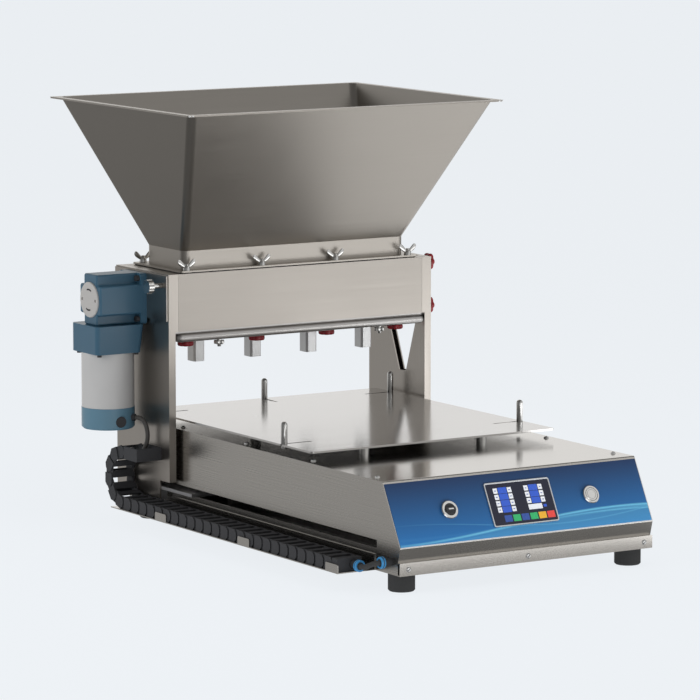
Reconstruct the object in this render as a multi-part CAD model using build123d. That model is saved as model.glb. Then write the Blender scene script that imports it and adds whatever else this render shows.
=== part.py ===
from build123d import *
import math
import os

# Desktop batter depositor. The base carries a tray plate, and a gantry with the
# hopper and the metering head travels over it. Millimetres, X to the right seen
# from the front, Y to the rear, Z up. While modelling, X = 0 is the machine's
# middle and Y = 0 its front edge. save() moves every piece to the final origin.

# Base, its screws and its feet
base_w = 450.0
base_len = 800.0
deck_z = 160.0
sheet_t = 1.5
foot_h = 27.0
foot_r = 20.0
foot_inset_x = 23.0
foot_inset_y = 32.0
foot_bore_r = 7.0
foot_bore_h = 10.0
foot_head_h = 3.0
foot_screw_r = 2.5
foot_head_r = 6.0
fold_y = 48.7
fold_z = 68.0
lip_top_z = 46.0
lip_set_back = 0.5
undercut = 6.0
fold_r = 3.0
vent_count = 6
vent_half_len = 40.0
vent_w = 6.0
vent_pitch = 30.0
lip_screw_r = 4.0
lip_screw_h = 1.5
lip_screw_inset = 15.0
deck_screw_r = 3.5
deck_screw_h = 2.5
deck_screw_inset = 14.0
deck_screw_first_y = 84.0
deck_screw_second_y = 262.0
deck_screw_pitch = 195.0

# Fits and gaps
running_gap = 0.05
free_gap = 0.4
seat_gap = 0.3

# Side slots and the carriage that leaves through them
slot_front_y = 63.0
slot_rear_inset = 10.0
slot_low_z = 60.5
slot_high_z = 72.0
carriage_lead = 64.7
carriage_tail = 36.0
carriage_lift = 2.0
carriage_t = 5.0
carriage_rim = 40.0
carriage_spine = 25.0
rail_inset = 75.0
rail_w = 15.0
rail_h = 13.0
rail_groove_h = 4.0
rail_groove_depth = 2.0
rail_bar_w = 30.0
rail_bar_h = 6.0
rail_front_y = 112.0
block_w = 34.0
block_len = 40.0
block_drop = 22.5
block_inset = 16.0

# Belt drive of the gantry
pulley_r = 16.0
pulley_w = 16.0
pulley_teeth = 16
pulley_groove_w = 2.8
pulley_groove_depth = 1.2
pulley_flange_t = 1.5
belt_t = 2.0
belt_w = 14.0
belt_z = 91.0
drive_pulley_y = 104.0
idler_inset = 27.0
stepper_side = 57.0
stepper_len = 76.0
stepper_corner = 5.0
pilot_r = 19.0
pilot_h = 1.6
pulley_axle_r = 4.0
bracket_gap = 4.0
belt_bracket_t = 5.0
bracket_foot_len = 40.0
fork_reach = 12.0
belt_clamp_half_len = 17.5
belt_clamp_half_w = 12.0
clamp_ear_t = 4.0
clamp_ear_h = 6.0

# Tray plate, its posts and its locating pins
plate_side_gap = 5.0
plate_front_y = 252.0
plate_rear_inset = 34.0
plate_t = 3.0
plate_gap = 13.0
plate_corner_r = 5.0
post_x = 106.7
post_front_inset = 33.4
post_rear_inset = 160.7
post_r = 8.0
plate_screw_r = 4.0
plate_screw_sink = 1.6
pin_r = 5.0
pin_h = 34.0
pin_inset_x = 5.5
pin_front_inset = 88.5
pin_rear_inset = 51.0
pin_shank_r = 2.0
pin_nut_r = 4.5
pin_nut_h = 4.0
pin_slot_w = 4.8
pin_stroke = 46.0
centre_pin_inset = 10.0
centre_pin_stroke = 36.0

# Front panel
panel_inset = 1.5
overlay_t = 0.8
control_x = 126.0
control_s = 50.2
screen_x = 1.5
screen_w = 116.0
screen_h = 69.0
screen_frame = 2.5
screen_rise = 2.2
screen_depth = 28.0
glass_t = 1.2
glass_sink = 0.2
bezel_r = 14.0
bezel_h = 4.5
bezel_floor = 2.0
barrel_r = 11.0
barrel_len = 26.0
dial_r = 9.2
dial_lift = 0.5
grip_w = 5.0
grip_h = 4.0
cap_r = 10.2
cap_lift = 1.5
cap_t = 4.0
stem_r = 4.0
stem_len = 10.0
button_travel = 2.0

# Cable chain in its tray, and the hose with its two fittings
chain_tray_w = 65.0
chain_tray_front_y = 67.0
chain_tray_rear_inset = 55.0
chain_tray_flange = 24.0
chain_edge_gap = 2.0
chain_w = 42.0
chain_h = 20.0
chain_pitch = 25.0
chain_end = 7.0
chain_end_cut = 5.5
chain_bend_links = 5
chain_bend_back = 78.8
chain_side_t = 2.0
chain_side_gap = 0.2
chain_bar_t = 2.5
chain_bar_w = 11.0
chain_web_t = 3.0
tab_count = 3
tab_len = 34.0
tab_h = 12.0
tab_pitch = 251.5
mount_gap = 7.5
mount_len = 14.0
mount_wall = 3.0
fitting_y = 24.0
fitting_z = 46.0
fitting_r = 6.0
fitting_nose = 14.0
fitting_sink = 8.0
ring_r = 8.5
ring_w = 6.0
hose_r = 4.0
hose_offset = 6.0
end_bracket_len = 42.0
end_bracket_gap = 11.5
end_bracket_t = 3.0

# Gantry side frames
frame_stand_off = 18.5
frame_w = 12.0
frame_sheet = 2.0
frame_depth = 167.3
frame_overhang = 6.0
frame_foot_gap = 4.7
frame_toe = 30.3
frame_tongue = 16.5
frame_strip = 17.5
strip_gap = 0.25
head_top_z = 404.0
head_h = 107.0
foot_bar_w = 11.0
window_lead = 28.3
window_w = 81.0
window_h = 81.0
window_foot_lead = 55.8
window_foot_w = 20.5
window_top_gap = 4.0

# Metering head
cover_gap = 3.6
nozzle_plate_t = 13.0
nozzle_plate_lead = 4.7
nozzle_plate_tail = 16.0
nozzle_plate_side_gap = 1.5
nozzle_plate_corner_r = 9.0
body_set_back = 5.3
body_depth = 80.0
lanes = 4
lane_margin = 47.0
nozzle_set_back = 18.0
nozzle_w = 20.0
nozzle_d = 24.0
nozzle_len = 41.0
nozzle_corner = 3.0
collar_edge = 4.0
collar_h = 6.0
nozzle_bore_r = 6.0
valve_rise = 25.0
valve_r = 14.0
port_r = 6.0
inlet_r = 10.0
bore_r = 12.0
tube_wall = 4.0
tube_len = 44.0
tube_flange = 4.0
tube_flange_t = 3.0
piston_len = 20.0
piston_gap = 2.0
piston_stroke = 25.0
piston_rod_r = 5.0
seal_w = 3.0
seal_depth = 2.0
crosshead_gap = 2.0
crosshead_t = 8.0
crosshead_foot = 10.0
crosshead_arm = 22.0
shaft_behind = 12.0
shaft_rise = 26.0
shaft_r = 7.5
gear_module = 2.0
pinion_teeth = 12
pinion_w = 12.0
rack_h = 9.0
rack_lead = 6.0
rack_side_gap = 1.0
tooth_relief = 0.35
pressure_angle = 20.0
bearing_r = 11.0
bearing_w = 8.0
top_plate_t = 2.5
top_plate_lead = 3.0
trough_depth = 10.5
knob_row_inset = 27.0
knob_r = 14.0
knob_h = 11.0
knob_lobes = 6
knob_dent = 2.6
knob_seat_r = 7.0
knob_seat_h = 2.0
stud_r = 4.0
stud_hold = 16.0
stud_hole_len = 20.0
side_knob_inset = 12.0
side_knob_rise = 13.5
side_knob_drop = 10.0
clamp_drop = 18.0
clamp_neck = 18.0
clamp_collar_r = 6.5
clamp_collar_t = 3.0
clamp_head_r = 11.0
clamp_head_t = 9.0
star_nut_inset = 11.0
star_nut_side = 7.0
star_nut_r = 8.5
star_nut_t = 6.0
star_nut_drop = 2.0
star_stud_r = 3.0

# Hopper
hopper_h = 260.0
hopper_t = 1.5
hopper_corner_r = 12.0
rim_side = 45.0
rim_lead = 140.7
rim_tail = 133.0
rim_lip = 10.0
rim_t = 2.5
neck_h = 33.0
neck_side = 38.5
neck_lead = 20.3
neck_tail = 29.0
flange_side = 23.5
flange_lead = 2.3
flange_tail = 11.0
flange_t = 2.5
flange_corner_r = 4.0
gasket_t = 1.5
gasket_edge = 3.0
throat_side = 15.0
throat_lead = 24.0
throat_tail = 6.0
wing_side = 15.0
wing_edge = 8.0
wing_hub_r = 6.0
wing_hub_h = 7.0
wing_t = 3.0
wing_stud_h = 10.0

# Gearmotor on the left side frame
motor_plate_t = 3.0
motor_plate_drop = 30.0
motor_plate_edge = 2.0
gearhead_reach = 85.5
gearhead_w = 67.0
gearhead_h = 80.0
gearhead_flange_t = 10.5
notch_y = 13.0
notch_z = 17.0
bolt_r = 4.5
bolt_h = 6.0
bolt_inset_y = 7.0
bolt_inset_z = 8.0
output_cap_r = 28.0
output_cap_t = 3.0
cap_hole_r = 2.5
cap_hole_reach = 21.0
motor_reach = 51.5
motor_behind = 6.4
adapter_side = 84.0
adapter_h = 44.0
adapter_taper = 4.0
adapter_corner_r = 8.0
adapter_screw_inset = 9.0
adapter_screw_r = 3.5
adapter_screw_h = 4.0
motor_r = 42.0
can_relief = 0.5
can_h = 87.0
endcap_h = 34.0
endcap_edge = 3.0
brush_rise = 13.0
brush_r = 8.5
brush_depth = 5.0
brush_proud = 1.0
lead_rise = 18.0
lead_r = 3.5
gland_r = 5.5
gland_len = 5.0

# Derived places of the base
half_w = base_w / 2
pan_top_z = foot_h + sheet_t
slope_len = math.hypot(fold_y, deck_z - fold_z)
slope_sin = fold_y / slope_len
slope_cos = (deck_z - fold_z) / slope_len
foot_x = half_w - foot_inset_x
slot_rear_y = base_len - slot_rear_inset
rail_x = half_w - rail_inset
rail_rear_y = slot_rear_y
idler_pulley_y = base_len - idler_inset
plate_w = base_w - 2 * plate_side_gap
plate_rear_y = base_len - plate_rear_inset
plate_low_z = deck_z + plate_gap
plate_top_z = plate_low_z + plate_t
post_front_y = plate_front_y + post_front_inset
post_rear_y = plate_rear_y - post_rear_inset
pin_x = plate_w / 2 - pin_inset_x
pin_front_y = plate_front_y + pin_front_inset
pin_rear_y = plate_rear_y - pin_rear_inset
centre_pin_y = plate_rear_y - centre_pin_inset

# Derived places of the gantry
frame_x = half_w + frame_stand_off
frame_inner_x = frame_x - frame_w
frame_rear_y = base_len + frame_overhang
frame_front_y = frame_rear_y - frame_depth
frame_toe_y = frame_front_y + frame_toe
frame_foot_z = slot_high_z + frame_foot_gap
carriage_front_y = frame_front_y - carriage_lead
carriage_rear_y = frame_rear_y - carriage_tail
carriage_low_z = slot_low_z + carriage_lift
carriage_top_z = carriage_low_z + carriage_t
frame_tongue_z = carriage_low_z - frame_tongue
arm_half_w = frame_x - frame_sheet
nozzle_plate_low_z = head_top_z - head_h
nozzle_plate_top_z = nozzle_plate_low_z + nozzle_plate_t
nozzle_plate_front_y = frame_front_y - nozzle_plate_lead
nozzle_plate_rear_y = frame_rear_y - nozzle_plate_tail
cover_low_z = nozzle_plate_top_z + cover_gap
cover_half_w = frame_x - frame_strip
body_low_z = nozzle_plate_top_z
body_top_z = head_top_z - top_plate_t
body_front_y = frame_front_y + body_set_back
body_rear_y = body_front_y + body_depth
body_half_w = frame_inner_x - free_gap
lane_pitch = (2 * frame_inner_x - lane_margin) / lanes
lane_x = [lane_pitch * (i - (lanes - 1) / 2) for i in range(lanes)]
rack_x = [-lane_pitch, lane_pitch]
knob_pitch_x = 1.25 * lane_pitch
knob_x = [knob_pitch_x * (i - (lanes - 1) / 2) for i in range(lanes)]
knob_row_y = body_front_y + knob_row_inset
star_nut_x = lane_x[-1] - star_nut_side
star_nut_y = nozzle_plate_front_y + star_nut_inset
nozzle_y = body_rear_y - nozzle_set_back
valve_z = body_low_z + valve_rise
valve_bore_r = valve_r + running_gap
cylinder_r = bore_r + running_gap
tube_end_y = body_rear_y + tube_len
piston_front_y = nozzle_y + valve_r + piston_gap
crosshead_y = tube_end_y + crosshead_gap
crosshead_half_w = lane_x[-1] + crosshead_arm
shaft_y = body_rear_y + shaft_behind
shaft_z = valve_z + shaft_rise
pitch_r = gear_module * pinion_teeth / 2
side_knob_y = body_front_y + side_knob_inset
side_knob_low_z = body_low_z + side_knob_rise
side_knob_high_z = head_top_z - side_knob_drop
clamp_z = head_top_z - clamp_drop
stud_hole_r = stud_r + free_gap

# Derived places of the hopper
rim_half_w = frame_x + rim_side
rim_front_y = frame_front_y - rim_lead
rim_rear_y = frame_rear_y + rim_tail
rim_z = head_top_z + hopper_h
neck_half_w = frame_x - neck_side
neck_front_y = frame_front_y + neck_lead
neck_rear_y = frame_rear_y - neck_tail
neck_top_z = head_top_z + neck_h
flange_half_w = frame_x - flange_side
flange_front_y = frame_front_y + flange_lead
flange_rear_y = frame_rear_y - flange_tail
flange_low_z = head_top_z + gasket_t
flange_top_z = flange_low_z + flange_t
throat_half_w = neck_half_w - throat_side
throat_front_y = body_front_y + throat_lead
throat_rear_y = body_rear_y - throat_tail
wing_outer_x = flange_half_w - wing_side
wing_inner_x = wing_outer_x / 3

# Derived places of the cable chain and the gearmotor
tray_outer_x = -half_w - chain_tray_w
chain_tray_rear_y = base_len - chain_tray_rear_inset
chain_outer_x = tray_outer_x + chain_edge_gap
chain_inner_x = chain_outer_x + chain_w
chain_mid_x = (chain_outer_x + chain_inner_x) / 2
chain_turn = math.pi / chain_bend_links
chain_r = chain_pitch / 2 / math.sin(chain_turn / 2)
chain_low_z = pan_top_z + chain_h / 2
chain_high_z = chain_low_z + 2 * chain_r
chain_bend_y = frame_front_y + chain_bend_back
chain_run_links = int((chain_bend_y - chain_tray_front_y) / chain_pitch) - 1
chain_front_y = chain_bend_y - chain_run_links * chain_pitch
motor_plate_x = -frame_x - motor_plate_t
gearhead_x = -frame_x - gearhead_reach
gearhead_front_y = shaft_y - gearhead_w / 2
gearhead_rear_y = shaft_y + gearhead_w / 2
gearhead_low_z = shaft_z - gearhead_h / 2
gearhead_high_z = shaft_z + gearhead_h / 2
motor_x = -frame_x - motor_reach
motor_y = shaft_y + motor_behind
motor_left_x = motor_x - adapter_side / 2
adapter_low_z = gearhead_low_z - adapter_h
can_low_z = adapter_low_z - can_h
endcap_low_z = can_low_z - endcap_h

# The final origin is on the floor, under the middle of the whole machine
origin_x = (motor_left_x + rim_half_w) / 2
origin_y = (rim_rear_y + lip_set_back - lip_screw_h) / 2

os.makedirs("parts", exist_ok=True)


def save(name, *solids):
    placed = [Pos(-origin_x, -origin_y, 0) * solid for solid in solids]
    shape = placed[0] if len(placed) == 1 else Compound(children=placed)
    export_step(shape, "parts/" + name + ".step")


def box(x0, x1, y0, y1, z0, z1):
    middle = Pos((x0 + x1) / 2, (y0 + y1) / 2, (z0 + z1) / 2)
    return middle * Box(abs(x1 - x0), y1 - y0, z1 - z0)


def cut_box(x0, x1, y0, y1, z0, z1):
    """A box for a cut that goes right through in Z."""
    return box(x0, x1, y0, y1, z0 - 1, z1 + 1)


def rod_x(y, z, x0, x1, r):
    return Pos((x0 + x1) / 2, y, z) * Rot(0, 90, 0) * Cylinder(r, abs(x1 - x0))


def rod_y(x, z, y0, y1, r):
    return Pos(x, (y0 + y1) / 2, z) * Rot(90, 0, 0) * Cylinder(r, abs(y1 - y0))


def rod_z(x, y, z0, z1, r):
    return Pos(x, y, (z0 + z1) / 2) * Cylinder(r, z1 - z0)


def side_profile(points, x0, x1):
    """A plate with its outline in Y and Z, from x0 to x1."""
    face = make_face(Polyline(*points, close=True))
    return extrude(Plane.YZ.offset(min(x0, x1)) * face, abs(x1 - x0))


def front_profile(points, y0, y1):
    """A plate with its outline in X and Z, from y0 to y1."""
    face = make_face(Polyline(*points, close=True))
    return extrude(Plane((0, y1, 0), (1, 0, 0), (0, -1, 0)) * face, y1 - y0)


def on_slope(x, s, lift=0.0):
    """A place on the front panel: x across, s up the slope, lift out of it."""
    y = s * slope_sin - lift * slope_cos
    z = fold_z + s * slope_cos + lift * slope_sin
    return Plane((x, y, z), (1, 0, 0), (0, -slope_cos, slope_sin))


def tube_along(points, r):
    """A tube along straight runs joined by arcs as large as the runs allow."""
    nodes = [Vector(*p) for p in points]
    radii = []
    for i in range(1, len(nodes) - 1):
        before = nodes[i] - nodes[i - 1]
        after = nodes[i + 1] - nodes[i]
        turn = math.radians(before.get_angle(after))
        shorter = min(before.length, after.length)
        radii.append(0.45 * shorter / math.tan(turn / 2))
    path = FilletPolyline(*points, radius=radii)
    print("arc radii", [round(v, 1) for v in radii], "length", round(path.length, 1))
    tube = sweep(Plane(path @ 0, z_dir=path % 0) * Circle(r), path=path)
    print("tube volume over section times length", tube.volume / (math.pi * r * r * path.length))
    return tube


def star_outline(r, lobes, dent):
    """A hand knob's outline, with a shallow dent between its lobes."""
    outline = Circle(r)
    for i in range(lobes):
        turn = (i + 0.5) * 360 / lobes
        outline -= Rot(0, 0, turn) * Pos(r + dent, 0) * Circle(dent * 1.7)
    return outline


# Base shell: deck, sides and sloped front folded from one sheet, open below
shell_foot_z = pan_top_z - 10
shell_points = [
    (base_len, shell_foot_z),
    (base_len, deck_z),
    (fold_y, deck_z),
    (0, fold_z),
    (undercut, lip_top_z),
    (undercut, shell_foot_z),
]
shell_face = make_face(FilletPolyline(*shell_points, radius=fold_r, close=True))
shell_hollow = offset(shell_face, amount=-sheet_t)
inner_half_w = half_w - sheet_t
shell = extrude(Plane.YZ.offset(-half_w) * shell_face, base_w)
shell -= extrude(Plane.YZ.offset(-inner_half_w) * shell_hollow, 2 * inner_half_w)
shell -= box(-half_w - 1, half_w + 1, -1, base_len + 1, 0, pan_top_z)
for side in (-1, 1):
    wall_x = side * half_w
    shell -= box(
        wall_x - 2 * sheet_t, wall_x + 2 * sheet_t,
        slot_front_y, slot_rear_y, slot_low_z, slot_high_z,
    )

screen_cut_w = screen_w - 4 * screen_frame
screen_cut_h = screen_h - 4 * screen_frame
overlay_s = slope_len - 4 * panel_inset
overlay_middle = on_slope(0, overlay_s / 2 + panel_inset)
overlay = extrude(overlay_middle * Rectangle(base_w - 2 * panel_inset, overlay_s), overlay_t)
for x in (-control_x, control_x):
    hole = extrude(on_slope(x, control_s, -10) * Circle(barrel_r + seat_gap), 20)
    shell -= hole
    overlay -= hole
screen_cut = on_slope(screen_x, control_s, -10) * Rectangle(screen_cut_w, screen_cut_h)
shell -= extrude(screen_cut, 20)
overlay -= extrude(screen_cut, 20)
shell -= rod_x(
    fitting_y, fitting_z, -half_w - 1, -half_w + 2 * sheet_t, fitting_r + seat_gap
)
save("base_shell", shell)
save("panel_overlay", overlay)

# Base pan with its front lip and the hem that meets the shell
hem_y = undercut - seat_gap
pan_points = [
    (base_len, foot_h),
    (lip_set_back, foot_h),
    (lip_set_back, lip_top_z),
    (hem_y, lip_top_z),
    (hem_y, lip_top_z - sheet_t),
    (lip_set_back + sheet_t, lip_top_z - sheet_t),
    (lip_set_back + sheet_t, pan_top_z),
    (base_len, pan_top_z),
]
pan = side_profile(pan_points, -half_w, half_w)
for i in range(vent_count):
    vent_y = base_len / 2 + vent_pitch * (i - vent_count / 2)
    pan -= cut_box(-vent_half_len, vent_half_len, vent_y, vent_y + vent_w, foot_h, pan_top_z)
save("base_pan", pan)

# Rubber feet, each with a screw that is sunk in from below
feet = []
foot_screws = []
for x in (-foot_x, foot_x):
    for y in (foot_inset_y, base_len - foot_inset_y):
        foot = rod_z(x, y, 0, foot_h, foot_r)
        foot = chamfer(foot.edges().sort_by(Axis.Z)[0], 2.0)
        foot -= rod_z(x, y, -1, foot_bore_h, foot_bore_r)
        feet.append(foot - rod_z(x, y, 0, foot_h + 1, foot_screw_r + seat_gap))
        screw = rod_z(x, y, foot_bore_h - foot_head_h, foot_bore_h, foot_head_r)
        foot_screws.append(screw + rod_z(x, y, foot_bore_h, foot_h, foot_screw_r))
save("rubber_feet", *feet)

# Round-headed screws of the lip and the deck
case_screws = []
lip_screw_z = (foot_h + lip_top_z) / 2
lip_screw_x = half_w - lip_screw_inset
for x in (-lip_screw_x, 0, lip_screw_x):
    head = rod_y(x, lip_screw_z, lip_set_back - lip_screw_h, lip_set_back, lip_screw_r)
    case_screws.append(chamfer(head.edges().sort_by(Axis.Y)[0], lip_screw_h / 2))
deck_screw_x = half_w - deck_screw_inset
deck_screw_y = [deck_screw_first_y]
deck_screw_y += [deck_screw_second_y + i * deck_screw_pitch for i in range(3)]
for x in (-deck_screw_x, deck_screw_x):
    for y in deck_screw_y:
        head = rod_z(x, y, deck_z, deck_z + deck_screw_h, deck_screw_r)
        case_screws.append(chamfer(head.edges().sort_by(Axis.Z)[-1], deck_screw_h / 2))

# Touch screen: a framed module let into the slope, and its glass
glass_w = screen_w - 2 * screen_frame
glass_h = screen_h - 2 * screen_frame
glass_lift = overlay_t + screen_rise - glass_t - glass_sink
module_w = screen_cut_w - 2 * seat_gap
module_h = screen_cut_h - 2 * seat_gap
screen_face = on_slope(screen_x, control_s, overlay_t)
screen_back = on_slope(screen_x, control_s, -screen_depth)
glass_seat = on_slope(screen_x, control_s, glass_lift)
screen = extrude(screen_face * Rectangle(screen_w, screen_h), screen_rise)
screen += extrude(screen_back * Rectangle(module_w, module_h), screen_depth + overlay_t)
screen -= extrude(glass_seat * Rectangle(glass_w, glass_h), screen_rise)
glass_size = Rectangle(glass_w - 2 * running_gap, glass_h - 2 * running_gap)
save("touch_screen", screen)
save("screen_glass", extrude(glass_seat * glass_size, glass_t))


def control_bezel(x, bore):
    """A round bezel with its threaded barrel and the bore for what it holds."""
    ring = extrude(on_slope(x, control_s, overlay_t) * Circle(bezel_r), bezel_h)
    ring = chamfer(ring.faces().sort_by(Axis.Y)[0].edges(), 1.0)
    barrel = on_slope(x, control_s, -barrel_len) * Circle(barrel_r)
    ring += extrude(barrel, barrel_len + overlay_t)
    seat = on_slope(x, control_s, -bezel_floor) * Circle(bore + free_gap)
    ring -= extrude(seat, bezel_floor + overlay_t + bezel_h + 1)
    stem_room = stem_len + button_travel + 1
    stem_hole = on_slope(x, control_s, -bezel_floor - stem_room) * Circle(stem_r + running_gap)
    return ring - extrude(stem_hole, 2 * stem_room)


save("control_bezels", control_bezel(-control_x, dial_r), control_bezel(control_x, cap_r))


def on_dial(lift):
    return on_slope(-control_x, control_s, dial_lift + lift)


# Two-position selector with a raised grip bar
dial = extrude(on_dial(0) * Circle(dial_r), cap_t)
dial += extrude(on_dial(cap_t) * Rectangle(2 * dial_r - grip_w / 2, grip_w), grip_h)
dial += extrude(on_dial(-stem_len) * Circle(stem_r), stem_len)
save("selector_knob", dial)

# Start button, a flat metal cap that travels into its bezel
button = extrude(on_slope(control_x, control_s, cap_lift) * Circle(cap_r), cap_t)
button = chamfer(button.faces().sort_by(Axis.Y)[0].edges(), 0.6)
button_stem = on_slope(control_x, control_s, cap_lift - stem_len) * Circle(stem_r)
button += extrude(button_stem, stem_len)
save("start_button", button)

# Tray plate with its open pin slots
plate = box(-plate_w / 2, plate_w / 2, plate_front_y, plate_rear_y, plate_low_z, plate_top_z)
plate = fillet(plate.edges().filter_by(Axis.Z), plate_corner_r)
slot_half = pin_slot_w / 2
slot_end_x = pin_x - pin_stroke - slot_half
for side in (-1, 1):
    for y in (pin_front_y, pin_rear_y):
        plate -= cut_box(
            side * slot_end_x, side * (plate_w / 2 + 1), y - slot_half, y + slot_half,
            plate_low_z, plate_top_z,
        )
slot_end_y = centre_pin_y - centre_pin_stroke - slot_half
plate -= cut_box(-slot_half, slot_half, slot_end_y, plate_rear_y + 1, plate_low_z, plate_top_z)
posts = []
plate_screws = []
screw_shank_r = plate_screw_r / 2
sink_z = plate_top_z - plate_screw_sink
for x in (-post_x, post_x):
    for y in (post_front_y, post_rear_y):
        plate -= rod_z(x, y, plate_low_z - 1, plate_top_z, screw_shank_r + free_gap)
        plate -= rod_z(x, y, sink_z, plate_top_z + 1, plate_screw_r + seat_gap)
        post = rod_z(x, y, deck_z, plate_low_z, post_r)
        posts.append(post - rod_z(x, y, deck_z - 1, plate_top_z, screw_shank_r + seat_gap))
        head = rod_z(x, y, sink_z, plate_top_z, plate_screw_r)
        plate_screws.append(head + rod_z(x, y, deck_z, sink_z, screw_shank_r))
save("tray_plate", plate)
save("tray_posts", *posts)
save("base_screws", *foot_screws, *case_screws, *plate_screws)


def locating_pin(x, y):
    """A round-topped pin that stands on the plate, with its shank and nut, turned as one."""
    foot = plate_top_z + seat_gap
    top = plate_top_z + pin_h
    nut_top = plate_low_z - seat_gap
    profile = [
        (0, nut_top - pin_nut_h),
        (pin_nut_r, nut_top - pin_nut_h),
        (pin_nut_r, nut_top),
        (pin_shank_r, nut_top),
        (pin_shank_r, foot),
        (pin_r, foot),
        (pin_r, top - 0.7 * pin_r),
        (0.8 * pin_r, top - 0.24 * pin_r),
        (0.45 * pin_r, top),
        (0, top),
    ]
    face = make_face(Plane.XZ * Polyline(*profile, close=True))
    return Pos(x, y, 0) * revolve(face, Axis.Z)


save("pin_front_left", locating_pin(-pin_x, pin_front_y))
save("pin_front_right", locating_pin(pin_x, pin_front_y))
save("pin_rear_left", locating_pin(-pin_x, pin_rear_y))
save("pin_rear_right", locating_pin(pin_x, pin_rear_y))
save("pin_rear_centre", locating_pin(0, centre_pin_y))

# Guide rails with their ball grooves, on bars inside the base
rails = []
rail_low_z = pan_top_z + rail_bar_h
rail_top_z = rail_low_z + rail_h
groove_low_z = rail_low_z + (rail_h - rail_groove_h) / 2
for x in (-rail_x, rail_x):
    bar_x = (x - rail_bar_w / 2, x + rail_bar_w / 2)
    bar = box(*bar_x, rail_front_y, rail_rear_y, pan_top_z, rail_low_z)
    rail = box(
        x - rail_w / 2, x + rail_w / 2, rail_front_y, rail_rear_y, rail_low_z, rail_top_z
    )
    for side in (-1, 1):
        groove_x = x + side * rail_w / 2
        rail -= box(
            groove_x - rail_groove_depth, groove_x + rail_groove_depth,
            rail_front_y - 1, rail_rear_y + 1, groove_low_z, groove_low_z + rail_groove_h,
        )
    rails.append(bar + rail)
save("guide_rails", *rails)

# Bearing blocks that ride on the rails, and the carriage plate above them
blocks = []
block_low_z = carriage_low_z - block_drop
block_gap = rail_w / 2 + free_gap
for x in (-rail_x, rail_x):
    for y in (carriage_front_y + block_inset, carriage_rear_y - block_inset - block_len):
        block = box(
            x - block_w / 2, x + block_w / 2, y, y + block_len, block_low_z, carriage_low_z
        )
        block -= box(
            x - block_gap, x + block_gap, y - 1, y + block_len + 1,
            block_low_z - 1, rail_top_z + free_gap,
        )
        blocks.append(block)
save("bearing_blocks", *blocks)

carriage = box(
    -arm_half_w, arm_half_w, carriage_front_y, carriage_rear_y, carriage_low_z, carriage_top_z
)
opening_front_y = carriage_front_y + carriage_rim
opening_rear_y = carriage_rear_y - carriage_rim
for side in (-1, 1):
    carriage -= cut_box(
        side * carriage_spine, side * (rail_x - carriage_rim), opening_front_y, opening_rear_y,
        carriage_low_z, carriage_top_z,
    )
bracket_x = pulley_w / 2 + bracket_gap
bracket_outer_x = bracket_x + belt_bracket_t
notch_half = bracket_outer_x + 2
carriage -= cut_box(
    -notch_half, notch_half, idler_pulley_y - fork_reach - 2, carriage_rear_y + 1,
    carriage_low_z, carriage_top_z,
)

# Timing belt and its clamp on the carriage
belt_mid_r = pulley_r + seat_gap


def belt_loop(r):
    length = idler_pulley_y - drive_pulley_y
    middle = Plane.YZ * Pos((idler_pulley_y + drive_pulley_y) / 2, belt_z)
    return middle * SlotCenterToCenter(length, 2 * r)


belt = extrude(belt_loop(belt_mid_r + belt_t), belt_w / 2, both=True)
belt -= extrude(belt_loop(belt_mid_r), belt_w, both=True)
save("travel_belt", belt)

clamp_y = (carriage_front_y + carriage_rear_y) / 2
clamp_span = (clamp_y - belt_clamp_half_len, clamp_y + belt_clamp_half_len)
clamp_top_z = belt_z - belt_mid_r - belt_t - seat_gap
belt_clamp = box(
    -belt_clamp_half_w, belt_clamp_half_w, *clamp_span, carriage_top_z, clamp_top_z
)
for side in (-1, 1):
    ear_x = side * (belt_w / 2 + free_gap)
    belt_clamp += box(
        ear_x, ear_x + side * clamp_ear_t, *clamp_span,
        carriage_top_z, clamp_top_z + clamp_ear_h,
    )

# Foot bars that bolt the side frames to the ends of the carriage plate
foot_bars = [
    box(
        side * arm_half_w, side * (arm_half_w - foot_bar_w), frame_toe_y, carriage_rear_y,
        frame_tongue_z, carriage_low_z,
    )
    for side in (-1, 1)
]
save("carriage", carriage, belt_clamp, *foot_bars)


def toothed_pulley(y):
    """A pulley with shallow belt grooves and a guide flange on each side."""
    wheel = Circle(pulley_r)
    for i in range(pulley_teeth):
        turn = i * 360 / pulley_teeth
        groove = Rectangle(2 * pulley_groove_depth, pulley_groove_w)
        wheel -= Rot(0, 0, turn) * Pos(pulley_r, 0) * groove
    body = extrude(Plane.YZ * Pos(y, belt_z) * wheel, pulley_w / 2, both=True)
    for side in (-1, 1):
        rim_x = side * pulley_w / 2
        body += rod_x(y, belt_z, rim_x, rim_x + side * pulley_flange_t, pulley_r - 1)
    return body - rod_x(y, belt_z, -pulley_w, pulley_w, pulley_axle_r + running_gap)


save("drive_pulley", toothed_pulley(drive_pulley_y))
save("idler_pulley", toothed_pulley(idler_pulley_y))

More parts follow.
